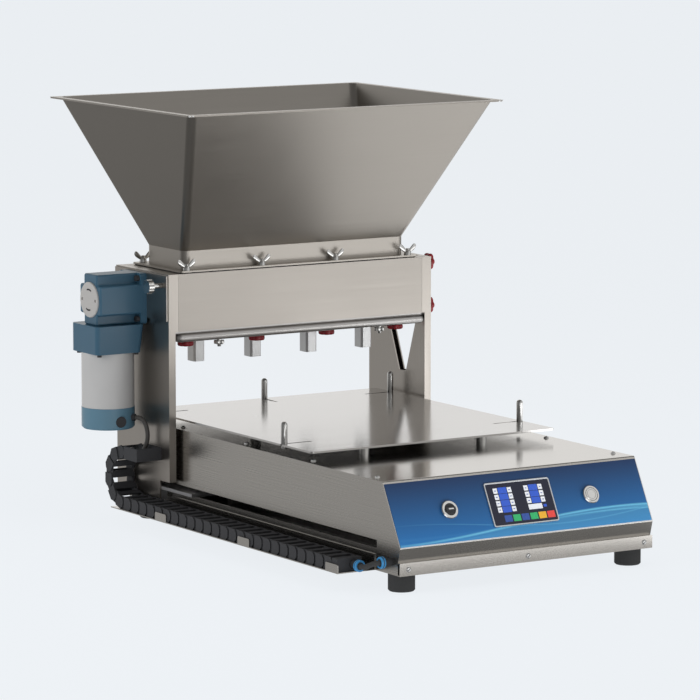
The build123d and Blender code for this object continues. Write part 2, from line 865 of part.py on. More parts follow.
# The stepper motor on its bracket, whose shaft carries the drive pulley
stepper_half = stepper_side / 2
stepper_y = (drive_pulley_y - stepper_half, drive_pulley_y + stepper_half)
stepper_bracket = box(
    -bracket_outer_x, -bracket_x, *stepper_y, pan_top_z, belt_z + stepper_half
)
stepper_bracket += box(
    -bracket_x - bracket_foot_len, -bracket_x, *stepper_y,
    pan_top_z, pan_top_z + belt_bracket_t,
)
stepper_bracket -= rod_x(
    drive_pulley_y, belt_z, -bracket_outer_x - 1, -bracket_x + 1, pilot_r + seat_gap
)
stepper = box(
    -bracket_outer_x - stepper_len, -bracket_outer_x, *stepper_y,
    belt_z - stepper_half, belt_z + stepper_half,
)
stepper = chamfer(stepper.edges().filter_by(Axis.X), stepper_corner)
stepper += rod_x(
    drive_pulley_y, belt_z, -bracket_outer_x, -bracket_outer_x + pilot_h, pilot_r
)
stepper += rod_x(drive_pulley_y, belt_z, -bracket_outer_x, pulley_w / 2, pulley_axle_r)
save("travel_stepper", stepper)

idler_fork = box(
    -bracket_outer_x, bracket_outer_x, idler_pulley_y - fork_reach, idler_pulley_y + fork_reach,
    pan_top_z, belt_z + fork_reach,
)
idler_fork -= box(
    -bracket_x, bracket_x, idler_pulley_y - fork_reach - 1, idler_pulley_y + fork_reach + 1,
    pan_top_z + belt_bracket_t, belt_z + fork_reach + 1,
)
idler_fork += rod_x(idler_pulley_y, belt_z, -bracket_x - 1, bracket_x + 1, pulley_axle_r)
save("pulley_brackets", stepper_bracket, idler_fork)

# Tray for the cable chain, with upturned tabs along its outer edge
chain_tray = box(
    tray_outer_x, -half_w, chain_tray_front_y, chain_tray_rear_y, foot_h, pan_top_z
)
chain_tray += box(
    -half_w - sheet_t, -half_w, chain_tray_front_y, chain_tray_rear_y,
    foot_h, foot_h + chain_tray_flange,
)
for i in range(tab_count):
    y = chain_tray_front_y + i * tab_pitch
    tab = box(tray_outer_x, tray_outer_x + sheet_t, y, y + tab_len, foot_h, pan_top_z + tab_h)
    top_edges = tab.edges().filter_by(Axis.X).sort_by(Axis.Z)[-2:]
    chain_tray += fillet(top_edges, 3.0)
save("chain_tray", chain_tray)


def chain_cheek(y0, y1, cut0, cut1, x0, x1):
    """One side plate of a link, with its ends cut round the pivots."""
    half_h = chain_h / 2
    outline = [
        (y0, -half_h + cut0),
        (y0 + cut0, -half_h),
        (y1 - cut1, -half_h),
        (y1, -half_h + cut1),
        (y1, half_h - cut1),
        (y1 - cut1, half_h),
        (y0 + cut0, half_h),
        (y0, half_h - cut0),
    ]
    return side_profile(outline, x0, x1)


def chain_link():
    """A link along +Y from its first pivot to the next, about the pitch line."""
    middle = chain_pitch / 2
    web = chain_web_t / 2
    half_h = chain_h / 2
    outer_x = chain_w / 2
    seat_x = outer_x - chain_side_t
    lap_x = seat_x - chain_side_gap
    inner_x = lap_x - chain_side_t
    bar_y = (middle - chain_bar_w / 2, middle + chain_bar_w / 2)
    link = box(-lap_x, lap_x, *bar_y, -half_h, -half_h + chain_bar_t)
    link += box(-lap_x, lap_x, *bar_y, half_h - chain_bar_t, half_h)
    for side in (-1, 1):
        rear = (-chain_end, middle + web, chain_end_cut, 0.5)
        lead = (middle - web, chain_pitch + chain_end, 0.5, chain_end_cut)
        link += chain_cheek(*rear, side * outer_x, side * seat_x)
        link += chain_cheek(*lead, side * lap_x, side * inner_x)
        link += box(
            side * outer_x, side * inner_x, middle - web, middle + web, -half_h, half_h
        )
    return link


link = chain_link()
run = [
    Pos(chain_mid_x, chain_front_y + i * chain_pitch, chain_low_z) * link
    for i in range(chain_run_links)
]
bend = []
bend_y, bend_z = chain_bend_y, chain_low_z
for i in range(chain_bend_links):
    angle = (i + 0.5) * chain_turn
    bend.append(Pos(chain_mid_x, bend_y, bend_z) * Rot(math.degrees(angle), 0, 0) * link)
    bend_y += chain_pitch * math.cos(angle)
    bend_z += chain_pitch * math.sin(angle)

# Fixed end of the chain and the hose between its two push-in fittings
mount_rear_y = chain_front_y - mount_gap
mount_front_y = mount_rear_y - mount_len
hose_x = chain_mid_x + hose_offset
front_mount = box(
    chain_outer_x, chain_inner_x, mount_front_y, mount_rear_y, pan_top_z, pan_top_z + chain_h
)
front_mount -= box(
    chain_outer_x + mount_wall, chain_inner_x - mount_wall,
    mount_front_y + mount_wall, mount_rear_y + 1,
    pan_top_z + mount_wall, pan_top_z + chain_h - mount_wall,
)
front_mount -= rod_y(
    hose_x, chain_low_z, mount_front_y - 1, mount_rear_y, fitting_r + seat_gap
)
save("cable_chain", front_mount, *run, *bend)

hose_front_y = mount_front_y - fitting_nose
hose_side_x = -half_w - fitting_nose
fittings = [
    rod_x(fitting_y, fitting_z, hose_side_x, -half_w + fitting_sink, fitting_r),
    rod_y(hose_x, chain_low_z, hose_front_y, mount_front_y + fitting_sink, fitting_r),
]
rings = [
    rod_x(fitting_y, fitting_z, hose_side_x - ring_w, hose_side_x, ring_r),
    rod_y(hose_x, chain_low_z, hose_front_y - ring_w, hose_front_y, ring_r),
]
rings = [chamfer(ring.edges(), 1.0) for ring in rings]
save("hose_fittings", *fittings, *rings)
hose_start_y = hose_front_y - ring_w
hose_points = [
    (hose_x, hose_start_y, chain_low_z),
    (hose_x, hose_start_y - 12, chain_low_z),
    (hose_x + 1, hose_start_y - 20, chain_low_z + 3.5),
    (hose_x + 7.5, fitting_y, fitting_z),
    (hose_side_x - ring_w, fitting_y, fitting_z),
]
save("front_hose", tube_along(hose_points, hose_r))


def side_frame(side):
    """A box-section upright with its outer plate drawn down past the slot."""
    outer = side * frame_x
    inner = side * frame_inner_x
    t = frame_sheet
    y0, y1 = frame_front_y, frame_rear_y
    frame = box(inner, outer, y0, y1, frame_foot_z, head_top_z)
    frame -= box(
        inner + side * t, outer - side * t, y0 + t, y1 - t, frame_foot_z - 1, head_top_z - t
    )
    frame += box(outer - side * t, outer, frame_toe_y, y1, frame_tongue_z, frame_foot_z)
    strip_x = side * (cover_half_w + strip_gap)
    frame += box(strip_x, outer, y0, y0 + sheet_t, cover_low_z, head_top_z)
    far_x = inner + side * (t + 1) if side > 0 else outer - 1
    return frame - rod_x(shaft_y, shaft_z, inner - side, far_x, shaft_r + free_gap)


# The right frame has a window on the nozzles and takes the two side knobs
left_frame = side_frame(-1)
right_frame = side_frame(1)
window_top_z = nozzle_plate_low_z - window_top_gap
window_top_y = frame_front_y + window_lead
window_foot_y = frame_front_y + window_foot_lead
window_points = [
    (window_foot_y, window_top_z - window_h),
    (window_foot_y + window_foot_w, window_top_z - window_h),
    (window_top_y + window_w, window_top_z),
    (window_top_y, window_top_z),
]
right_frame -= side_profile(window_points, frame_inner_x - 1, frame_x + 1)
for z in (side_knob_low_z, side_knob_high_z):
    right_frame -= rod_x(side_knob_y, z, frame_inner_x - 1, frame_x + 1, stud_hole_r)
left_frame -= rod_x(side_knob_y, clamp_z, -frame_x - 1, -frame_inner_x + 1, stud_hole_r)
save("side_frames", left_frame, right_frame)

# Covers and the top plate of the head
cover_y = (frame_front_y, frame_front_y + sheet_t)
front_cover = box(-cover_half_w, cover_half_w, *cover_y, cover_low_z, head_top_z)
front_cover += box(
    -cover_half_w, cover_half_w, frame_front_y, body_front_y, cover_low_z, cover_low_z + sheet_t
)
rear_cover = box(
    -body_half_w, body_half_w, frame_rear_y - sheet_t, frame_rear_y, cover_low_z, body_top_z
)
save("head_covers", front_cover, rear_cover)
top_plate = box(
    -body_half_w, body_half_w, body_front_y - top_plate_lead, frame_rear_y - sheet_t,
    body_top_z, head_top_z,
)
top_plate -= cut_box(
    -throat_half_w, throat_half_w, throat_front_y, throat_rear_y, body_top_z, head_top_z
)
save("head_top_plate", top_plate)

# Valve body: trough and inlets above, valve bore across, cylinder bores behind
trough_z = body_top_z - trough_depth
body = box(-body_half_w, body_half_w, body_front_y, body_rear_y, body_low_z, body_top_z)
body -= box(
    -throat_half_w, throat_half_w, throat_front_y, throat_rear_y, trough_z, body_top_z + 1
)
body -= rod_x(nozzle_y, valve_z, -body_half_w - 1, body_half_w + 1, valve_bore_r)
for x in lane_x:
    body -= rod_z(x, nozzle_y, valve_z, trough_z + 1, inlet_r)
    body -= rod_z(x, nozzle_y, body_low_z - 1, valve_z, nozzle_bore_r)
    body -= rod_y(x, valve_z, nozzle_y, body_rear_y + 1, cylinder_r)
rack_front_y = shaft_y - piston_stroke - rack_lead
rack_back_z = shaft_z + pitch_r + 1.25 * gear_module
rack_top_z = rack_back_z + rack_h
rack_room = pinion_w / 2 + rack_side_gap
for x in rack_x:
    body -= box(
        x - rack_room, x + rack_room, rack_front_y - 2, body_rear_y + 1,
        shaft_z + pitch_r - 2 * gear_module, rack_top_z + 1,
    )
    pinion_room = pitch_r + 1.5 * gear_module
    body -= rod_x(shaft_y, shaft_z, x - rack_room, x + rack_room, pinion_room)
for x in knob_x:
    body -= rod_z(
        x, knob_row_y, body_low_z - 1, body_low_z + stud_hole_len, stud_r + running_gap
    )
blind_x = body_half_w - stud_hole_len
for x0, x1, z in (
    (blind_x, body_half_w + 1, side_knob_low_z),
    (blind_x, body_half_w + 1, side_knob_high_z),
    (-body_half_w - 1, -blind_x, clamp_z),
):
    body -= rod_x(side_knob_y, z, x0, x1, stud_r + running_gap)

# Cylinder tubes behind the valve body, fixed by a flange each
tubes = []
tube_r = bore_r + tube_wall
for x in lane_x:
    tube = rod_y(x, valve_z, body_rear_y, tube_end_y, tube_r)
    tube += rod_y(
        x, valve_z, body_rear_y, body_rear_y + tube_flange_t, tube_r + tube_flange
    )
    tubes.append(tube - rod_y(x, valve_z, body_rear_y - 1, tube_end_y + 1, cylinder_r))
save("valve_body", body, *tubes)

# Rotary valve: one shaft with an elbow port for every lane
rotor_end = body_half_w - 2
rotor = rod_x(nozzle_y, valve_z, -rotor_end, rotor_end, valve_r)
for x in lane_x:
    rotor -= rod_y(x, valve_z, nozzle_y - port_r, nozzle_y + valve_r + 1, port_r)
    rotor -= rod_z(x, nozzle_y, valve_z - valve_r - 1, valve_z, port_r)
save("valve_rotor", rotor)

# Pistons with their rods and seals
pistons = []
seals = []
piston_back_y = piston_front_y + piston_len
groove_y0 = piston_front_y + (piston_len - seal_w) / 2
groove_y1 = groove_y0 + seal_w
core_r = bore_r - seal_depth
for x in lane_x:
    piston = rod_y(x, valve_z, piston_front_y, piston_back_y, bore_r)
    core = rod_y(x, valve_z, groove_y0, groove_y1, core_r)
    piston = piston - rod_y(x, valve_z, groove_y0, groove_y1, bore_r + 1) + core
    piston += rod_y(x, valve_z, piston_back_y, crosshead_y, piston_rod_r)
    pistons.append(piston)
    seal = rod_y(x, valve_z, groove_y0 + running_gap, groove_y1 - running_gap, bore_r)
    seals.append(seal - rod_y(x, valve_z, groove_y0, groove_y1, core_r + running_gap))
save("pistons", *pistons)
save("piston_seals", *seals)

# Crosshead that joins the piston rods, cut down between its racks
crosshead = box(
    -crosshead_half_w, crosshead_half_w, crosshead_y, crosshead_y + crosshead_t,
    valve_z - crosshead_foot, rack_top_z,
)
for x in lane_x:
    crosshead -= box(
        x - crosshead_arm, x + crosshead_arm, crosshead_y - 1, crosshead_y + crosshead_t + 1,
        valve_z + crosshead_foot, rack_top_z + 1,
    )


def tooth_half(height):
    """Half the width of a tooth at a height above the pitch line."""
    slope = math.tan(math.radians(pressure_angle))
    return math.pi * gear_module / 4 - tooth_relief - height * slope


# Racks on the crosshead, with their teeth down on the pinions
pitch = math.pi * gear_module
tip_h = 0.9 * gear_module
root_h = 1.25 * gear_module
teeth_ahead = int((shaft_y - rack_front_y) / pitch)
teeth_behind = int((crosshead_y - shaft_y) / pitch)
racks = []
for x in rack_x:
    rack_side = (x - pinion_w / 2, x + pinion_w / 2)
    rack = box(*rack_side, rack_front_y, crosshead_y, rack_back_z, rack_top_z)
    for i in range(-teeth_ahead, teeth_behind):
        y = shaft_y + pitch * (i + 0.5)
        root = tooth_half(-root_h)
        tip = tooth_half(tip_h)
        tooth = [
            (y - root, rack_back_z + 0.1),
            (y + root, rack_back_z + 0.1),
            (y + tip, shaft_z + pitch_r - tip_h),
            (y - tip, shaft_z + pitch_r - tip_h),
        ]
        rack += side_profile(tooth, *rack_side)
    racks.append(rack)
save("crosshead", crosshead, *racks)


def pinion_outline():
    """Straight-flanked teeth round a hub, with a tooth gap straight up."""
    root_r = pitch_r - root_h
    gear = Circle(root_r)
    heights = (-root_h - 1, 0, tip_h)
    for i in range(pinion_teeth):
        middle = math.pi / 2 + i * 2 * math.pi / pinion_teeth
        flank = [(pitch_r + h, tooth_half(1.15 * h) / (pitch_r + h)) for h in heights]
        polar = [(r, middle - a) for r, a in flank] + [(r, middle + a) for r, a in flank[::-1]]
        corners = [(r * math.cos(a), r * math.sin(a)) for r, a in polar]
        gear += make_face(Polyline(*corners, close=True))
    return gear - Circle(shaft_r + running_gap)


# Drive shaft, its two pinions and its bearings
shaft_left_x = motor_plate_x - gearhead_flange_t - stud_hole_len
drive_shaft = rod_x(shaft_y, shaft_z, shaft_left_x, frame_x - 2 * frame_sheet, shaft_r)
pinions = []
for x in rack_x:
    plane = Plane.YZ.offset(x - pinion_w / 2) * Pos(shaft_y, shaft_z)
    pinions.append(extrude(plane * pinion_outline(), pinion_w))
save("drive_shaft", drive_shaft, *pinions)
bearings = []
for side in (-1, 1):
    a = side * frame_inner_x
    b = side * (frame_inner_x - bearing_w)
    ring = rod_x(shaft_y, shaft_z, a, b, bearing_r)
    bearings.append(ring - rod_x(shaft_y, shaft_z, a + side, b - side, shaft_r + running_gap))
save("shaft_bearings", *bearings)

# Nozzle plate with its rounded front edge
plate_half_w = frame_inner_x - nozzle_plate_side_gap
plate_z = (nozzle_plate_low_z, nozzle_plate_top_z)
nozzle_plate = box(
    -plate_half_w, plate_half_w, nozzle_plate_front_y, nozzle_plate_rear_y, *plate_z
)
front_corners = nozzle_plate.edges().filter_by(Axis.Z).sort_by(Axis.Y)[:2]
nozzle_plate = fillet(front_corners, nozzle_plate_corner_r)
front_edges = nozzle_plate.faces().sort_by(Axis.Z)[0].edges().sort_by(Axis.Y)[:3]
front_edges += nozzle_plate.faces().sort_by(Axis.Z)[-1].edges().sort_by(Axis.Y)[:3]
nozzle_plate = fillet(front_edges, nozzle_plate_t / 2 - 0.6)
for x in lane_x:
    nozzle_plate -= rod_z(x, nozzle_y, plate_z[0] - 1, plate_z[1] + 1, nozzle_bore_r)
for x in knob_x:
    nozzle_plate -= rod_z(x, knob_row_y, plate_z[0] - 1, plate_z[1] + 1, stud_hole_r)
save("nozzle_plate", nozzle_plate)

# Flat outlet nozzles, one for every lane
nozzles = []
nozzle_low_z = nozzle_plate_low_z - nozzle_len
collar_low_z = nozzle_plate_low_z - collar_h
for x in lane_x:
    collar = Pos(x, nozzle_y, (collar_low_z + nozzle_plate_low_z) / 2) * Box(
        nozzle_w + 2 * collar_edge, nozzle_d + 2 * collar_edge, collar_h
    )
    spout = Pos(x, nozzle_y, (nozzle_low_z + collar_low_z) / 2) * Box(
        nozzle_w, nozzle_d, collar_low_z - nozzle_low_z
    )
    spout = chamfer(spout.edges().filter_by(Axis.Z), nozzle_corner)
    bore = rod_z(x, nozzle_y, nozzle_low_z - 1, nozzle_plate_low_z + 1, nozzle_bore_r)
    nozzles.append(collar + spout - bore)
save("nozzles", *nozzles)


def hand_knob(stud_len):
    """A lobed clamping knob about Z, with its seat at Z = 0 and its stud above."""
    grip_outline = star_outline(knob_r, knob_lobes, knob_dent)
    grip_top = -knob_seat_h - seat_gap
    grip = Pos(0, 0, grip_top) * extrude(grip_outline, knob_seat_h - knob_h)
    grip += rod_z(0, 0, grip_top, -seat_gap, knob_seat_r)
    return grip + rod_z(0, 0, grip_top - 1, stud_len, stud_r)


bottom_knob = hand_knob(nozzle_plate_t + stud_hold)
knob_names = ["left_outer", "left_inner", "right_inner", "right_outer"]
for x, where in zip(knob_x, knob_names):
    save("plate_knob_" + where, Pos(x, knob_row_y, nozzle_plate_low_z) * bottom_knob)
side_knob = Rot(0, -90, 0) * hand_knob(frame_w + stud_hold)
for z, where in ((side_knob_high_z, "upper"), (side_knob_low_z, "lower")):
    save("side_knob_" + where, Pos(frame_x, side_knob_y, z) * side_knob)

# Necked clamp screw on the left, through the motor plate
neck_x = motor_plate_x - clamp_neck
clamp = rod_x(side_knob_y, clamp_z, neck_x, -body_half_w + stud_hold, stud_r)
clamp_head = Plane.YZ.offset(neck_x - clamp_head_t) * Pos(side_knob_y, clamp_z)
clamp += extrude(clamp_head * star_outline(clamp_head_r, 8, 1.6), clamp_head_t)
clamp += rod_x(side_knob_y, clamp_z, neck_x, neck_x + clamp_collar_t, clamp_collar_r)
save("left_clamp_screw", clamp)

# Star nuts under the front edge of the nozzle plate
star_nuts = []
star_top_z = nozzle_plate_low_z - star_nut_drop
stud_foot_z = star_top_z - star_nut_t - 2 * star_nut_drop
for x in (-star_nut_x, star_nut_x):
    star_face = Pos(x, star_nut_y, star_top_z) * star_outline(star_nut_r, 5, 2.2)
    stud = rod_z(x, star_nut_y, stud_foot_z, nozzle_plate_low_z, star_stud_r)
    star_nuts.append(extrude(star_face, -star_nut_t) + stud)


def frustum(inset):
    """The hopper's tapered body between its neck and its rim, drawn in by an inset."""
    wall_half = rim_half_w - rim_lip - inset
    wall_y = (rim_front_y + rim_lip + inset, rim_rear_y - rim_lip - inset)
    neck_y = (neck_front_y + inset, neck_rear_y - inset)
    corner = hopper_corner_r - inset
    sections = []
    for z, half, (y0, y1) in ((neck_top_z, neck_half_w - inset, neck_y), (rim_z, wall_half, wall_y)):
        section = RectangleRounded(2 * half, y1 - y0, corner)
        sections.append((Pos(0, (y0 + y1) / 2, z) * section).face())
    return loft(sections, ruled=True)


def neck(inset, z0, z1):
    """The hopper's straight neck, drawn in by an inset."""
    section = RectangleRounded(
        2 * (neck_half_w - inset), neck_rear_y - neck_front_y - 2 * inset, hopper_corner_r - inset
    )
    return extrude(Pos(0, (neck_front_y + neck_rear_y) / 2, z0) * section, z1 - z0)


# Hopper: neck, tapered walls, a flat turned-out rim and a bolted flange
hopper = frustum(0) + neck(0, flange_low_z, neck_top_z)
rim = RectangleRounded(2 * rim_half_w, rim_rear_y - rim_front_y, rim_t)
hopper += extrude(Pos(0, (rim_front_y + rim_rear_y) / 2, rim_z) * rim, -rim_t)
flange = box(
    -flange_half_w, flange_half_w, flange_front_y, flange_rear_y, flange_low_z, flange_top_z
)
hopper += fillet(flange.edges().filter_by(Axis.Z), flange_corner_r)
hopper -= frustum(hopper_t)
hopper -= neck(hopper_t, flange_low_z - 1, neck_top_z)
gasket = box(
    -flange_half_w + gasket_edge, flange_half_w - gasket_edge,
    flange_front_y + gasket_edge, flange_rear_y - gasket_edge, head_top_z, flange_low_z,
)
gasket -= cut_box(
    -throat_half_w, throat_half_w, throat_front_y, neck_rear_y - 2 * hopper_t,
    head_top_z, flange_low_z,
)
wing_x = (-wing_outer_x, -wing_inner_x, wing_inner_x, wing_outer_x)
wing_y = (flange_front_y + wing_edge, flange_rear_y - wing_edge)
for x in wing_x:
    for y in wing_y:
        hole = rod_z(x, y, head_top_z - 1, flange_top_z + 1, star_stud_r + seat_gap)
        hopper -= hole
        gasket -= hole
save("hopper", hopper)
save("hopper_gasket", gasket)


def wing_nut(x, y):
    """A wing nut with its stud, standing on the flange."""
    hub = Pos(x, y, flange_top_z) * extrude(Circle(wing_hub_r), wing_hub_h, taper=8)
    left = [(-3, 2), (-12, 8), (-16, 14), (-14.5, 17.5), (-10.5, 16.5), (-4, 7)]
    right = [(-px, pz) for px, pz in left]
    for wing in (left, right):
        points = [(x + px, flange_top_z + pz) for px, pz in wing]
        hub += front_profile(points, y - wing_t / 2, y + wing_t / 2)
    return hub + rod_z(x, y, head_top_z, flange_top_z + wing_stud_h, star_stud_r)


wing_nuts = [wing_nut(x, y) for x in wing_x for y in wing_y]
save("hand_nuts", *star_nuts, *wing_nuts)

# Plate on the left side frame that carries the gearmotor
motor_plate = box(
    motor_plate_x, -frame_x, frame_front_y + motor_plate_edge, frame_rear_y - motor_plate_edge,
    shaft_z - motor_plate_drop, head_top_z - motor_plate_edge,
)
motor_plate -= rod_x(shaft_y, shaft_z, motor_plate_x - 1, -frame_x + 1, shaft_r + free_gap)
motor_plate -= rod_x(side_knob_y, clamp_z, motor_plate_x - 1, -frame_x + 1, stud_hole_r)
save("motor_plate", motor_plate)

# Right-angle gearhead with notched corners and a bolted flange
notched_x = motor_plate_x - gearhead_flange_t
gear_y = (gearhead_front_y, gearhead_rear_y)
gear_z = (gearhead_low_z, gearhead_high_z)
gearhead = box(gearhead_x, notched_x, *gear_y, *gear_z)
for y, turn_y in zip(gear_y, (1, -1)):
    for z, turn_z in zip(gear_z, (1, -1)):
        notch = Pos(gearhead_x, y, z) * Box(4 * gearhead_reach, 2 * notch_y, 2 * notch_z)
        gearhead -= notch
gearhead = fillet(gearhead.edges().filter_by(Axis.X), 3.0)
gearhead = chamfer(gearhead.faces().sort_by(Axis.X)[0].edges(), 2.0)
flange_body = box(notched_x, motor_plate_x, *gear_y, *gear_z)
gearhead += fillet(flange_body.edges().filter_by(Axis.X), 5.0)
gearhead -= rod_x(
    shaft_y, shaft_z, shaft_left_x - 2, motor_plate_x + 1, shaft_r + running_gap
)
bolts = [
    rod_x(y, z, notched_x - bolt_h, notched_x, bolt_r)
    for y in (gearhead_front_y + bolt_inset_y, gearhead_rear_y - bolt_inset_y)
    for z in (gearhead_low_z + bolt_inset_z, gearhead_high_z - bolt_inset_z)
]

output_cap = rod_x(shaft_y, shaft_z, gearhead_x - output_cap_t, gearhead_x, output_cap_r)
output_cap = chamfer(output_cap.edges().sort_by(Axis.X)[0], 1.0)
cap_hole_x = (gearhead_x - output_cap_t - 1, gearhead_x - 1)
for side in (-1, 1):
    output_cap -= rod_x(shaft_y + side * cap_hole_reach, shaft_z, *cap_hole_x, cap_hole_r)
save("output_cap", output_cap)

# Adapter between the gearhead and the motor, narrower towards its foot
adapter_right_x = motor_x + adapter_side / 2
adapter_points = [
    (motor_left_x, adapter_low_z),
    (adapter_right_x - adapter_taper, adapter_low_z),
    (adapter_right_x + adapter_taper / 2, gearhead_low_z),
    (motor_left_x, gearhead_low_z),
]
adapter = front_profile(adapter_points, motor_y - adapter_side / 2, motor_y + adapter_side / 2)
upright_edges = adapter.edges().filter_by(lambda e: abs(e.tangent_at(0.5).Z) > 0.9)
save("gearhead", gearhead, fillet(upright_edges, adapter_corner_r))

# Motor can below the adapter, cut round the adapter's four screws
can = rod_z(motor_x, motor_y, can_low_z, adapter_low_z, motor_r - can_relief)
adapter_screws = []
screw_reach = adapter_side / 2 - adapter_screw_inset
screw_foot_z = adapter_low_z - adapter_screw_h
for x in (motor_x - screw_reach, motor_x + screw_reach):
    for y in (motor_y - screw_reach, motor_y + screw_reach):
        adapter_screws.append(rod_z(x, y, screw_foot_z, adapter_low_z, adapter_screw_r))
        can -= rod_z(x, y, screw_foot_z - 2, adapter_low_z + 1, adapter_screw_r + free_gap)
save("motor_screws", *bolts, *adapter_screws)
save("motor_can", can)

endcap = rod_z(motor_x, motor_y, endcap_low_z, can_low_z, motor_r)
endcap = chamfer(endcap.edges().sort_by(Axis.Z)[0], endcap_edge)
brush_z = endcap_low_z + brush_rise
caps = []
for side in (-1, 1):
    inner_y = motor_y + side * (motor_r - brush_depth)
    outer_y = motor_y + side * (motor_r + brush_proud)
    endcap -= rod_y(motor_x, brush_z, inner_y, outer_y + side, brush_r + seat_gap)
    caps.append(rod_y(motor_x, brush_z, inner_y, outer_y, brush_r))

# Lead gland on the end cap, and the lead down to the moving end of the chain
exit_dir = Vector(0.6, -0.8, 0)
lead_z = endcap_low_z + lead_rise
gland_base = Vector(motor_x, motor_y, lead_z) + exit_dir * (motor_r - 0.4)
gland_plane = Plane(gland_base, z_dir=exit_dir)
gland = extrude(gland_plane * Circle(gland_r), gland_len)
endcap -= extrude(gland_plane * Circle(gland_r + 0.5), gland_len)
save("motor_endcap", endcap)
save("motor_plugs", gland, *caps)
bracket_rear_y = chain_bend_y - end_bracket_gap
lead_start = gland_base + exit_dir * gland_len
lead_turn = gland_base + exit_dir * (gland_len + 3 * lead_r)
lead_y = bracket_rear_y - 13.0
lead_points = [
    (lead_start.X, lead_start.Y, lead_z),
    (lead_turn.X, lead_turn.Y, lead_z),
    (-frame_x - 12.0, lead_y - 2.0, lead_z - 11.0),
    (-frame_x - 10.0, lead_y - 4.0, lead_z - 28.0),
    (-frame_x - 12.0, lead_y - 2.5, chain_high_z + 10.6),
    (chain_mid_x + 4.0, lead_y, chain_high_z - 2.0),
]
save("motor_lead", tube_along(lead_points, lead_r))

# Moving end of the cable chain, an open channel bolted to the left side frame
bracket_front_y = bracket_rear_y - end_bracket_len
bracket_y = (bracket_front_y, bracket_rear_y)
end_low_z = chain_high_z - chain_h / 2
end_high_z = chain_high_z + chain_h / 2
end_bracket = box(chain_outer_x, -frame_x, *bracket_y, end_low_z, end_high_z)
end_bracket -= box(
    chain_outer_x + end_bracket_t, chain_inner_x - end_bracket_t,
    bracket_front_y + end_bracket_t, bracket_rear_y + 1,
    end_low_z + end_bracket_t, end_high_z + 1,
)
save("chain_end_bracket", end_bracket)
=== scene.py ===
import math

import bmesh
import bpy
from bpy.props import FloatProperty, FloatVectorProperty, IntProperty, PointerProperty
from mathutils import Matrix, Vector


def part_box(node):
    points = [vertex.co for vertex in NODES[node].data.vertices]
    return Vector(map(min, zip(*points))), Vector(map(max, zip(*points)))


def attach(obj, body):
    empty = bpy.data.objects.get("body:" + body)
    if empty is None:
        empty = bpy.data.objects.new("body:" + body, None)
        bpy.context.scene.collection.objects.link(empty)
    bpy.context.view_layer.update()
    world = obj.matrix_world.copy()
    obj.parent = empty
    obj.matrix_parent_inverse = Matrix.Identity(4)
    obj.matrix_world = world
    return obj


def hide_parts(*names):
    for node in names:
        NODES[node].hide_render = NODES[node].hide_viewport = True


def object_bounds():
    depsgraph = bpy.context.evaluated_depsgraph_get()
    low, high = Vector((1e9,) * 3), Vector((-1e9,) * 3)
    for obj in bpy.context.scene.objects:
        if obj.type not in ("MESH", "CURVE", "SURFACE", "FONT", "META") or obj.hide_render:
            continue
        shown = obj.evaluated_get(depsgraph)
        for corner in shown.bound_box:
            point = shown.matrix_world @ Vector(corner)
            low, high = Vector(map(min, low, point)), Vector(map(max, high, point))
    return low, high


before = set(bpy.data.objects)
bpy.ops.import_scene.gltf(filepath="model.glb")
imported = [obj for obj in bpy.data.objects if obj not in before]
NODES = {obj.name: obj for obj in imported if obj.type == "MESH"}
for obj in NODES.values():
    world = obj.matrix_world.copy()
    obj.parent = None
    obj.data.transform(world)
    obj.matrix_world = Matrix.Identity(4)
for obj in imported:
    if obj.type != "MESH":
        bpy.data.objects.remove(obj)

bl_info = {
    "name": "Batter depositor looks",
    "version": (1, 0, 0),
    "blender": (4, 5, 0),
    "location": "View3D > Sidebar > Depositor",
    "description": "Finishes and detail pieces of a desktop batter depositor",
    "category": "Object",
}

MM = 0.001
CAD_LOW, CAD_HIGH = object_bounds()

# The machine's own zero, in the middle of its lower front edge, and its sloped front
MACHINE_ZERO = Vector((0.02425, -0.469, 0.0))
SLOPE_FOOT_Z = 68.0
CONTROL_X = 126.0
CONTROL_S = 50.2

# Route of the motor's lead and its radius, in the machine's millimetres
MOTOR_LEAD = (
    (-267.04, 705.12, 174), (-260.74, 696.72, 174), (-255.5, 691, 163), (-253.5, 689, 146),
    (-255.5, 690.5, 130), (-263, 693, 117.4),
)
MOTOR_LEAD_R = 3.5

# Names of the hand knobs and of the locating pins
KNOBS = (
    "plate_knob_left_outer", "plate_knob_left_inner", "plate_knob_right_inner",
    "plate_knob_right_outer", "side_knob_upper", "side_knob_lower",
)
PINS = ("pin_front_left", "pin_front_right", "pin_rear_left", "pin_rear_right", "pin_rear_centre")

# Where the nuts and screws stand, in the machine's millimetres
WING_NUT_X = (-205.0, -68.33, 68.33, 205.0)
WING_NUT_Y = (649.0, 787.0)
WING_NUT_HEIGHT = 17.5
STAR_NUT_X = (-149.0, 149.0)
STAR_NUT_Y = 645.0
DECK_SCREW_X = (-211.0, 211.0)
DECK_SCREW_Y = (84.0, 262.0, 457.0, 652.0)
LIP_SCREW_Z = 36.5

# Each screw of the lip: its X and the turn of its slot
LIP_SCREWS = ((-210.0, 0.7), (0.0, 0.9), (210.0, 0.5))

# Each section of a wing nut's paddle: x, z, half width, half thickness and lean
PADDLE = (
    (2.0, 4.6, 2.6, 1.4, 0.9), (5.0, 6.8, 2.9, 1.4, 0.8), (8.6, 9.6, 3.6, 1.35, 0.75),
    (11.6, 12.4, 3.9, 1.25, 0.75), (13.6, 14.8, 3.3, 1.05, 0.75),
    (14.8, 16.3, 1.8, 0.7, 0.75),
)

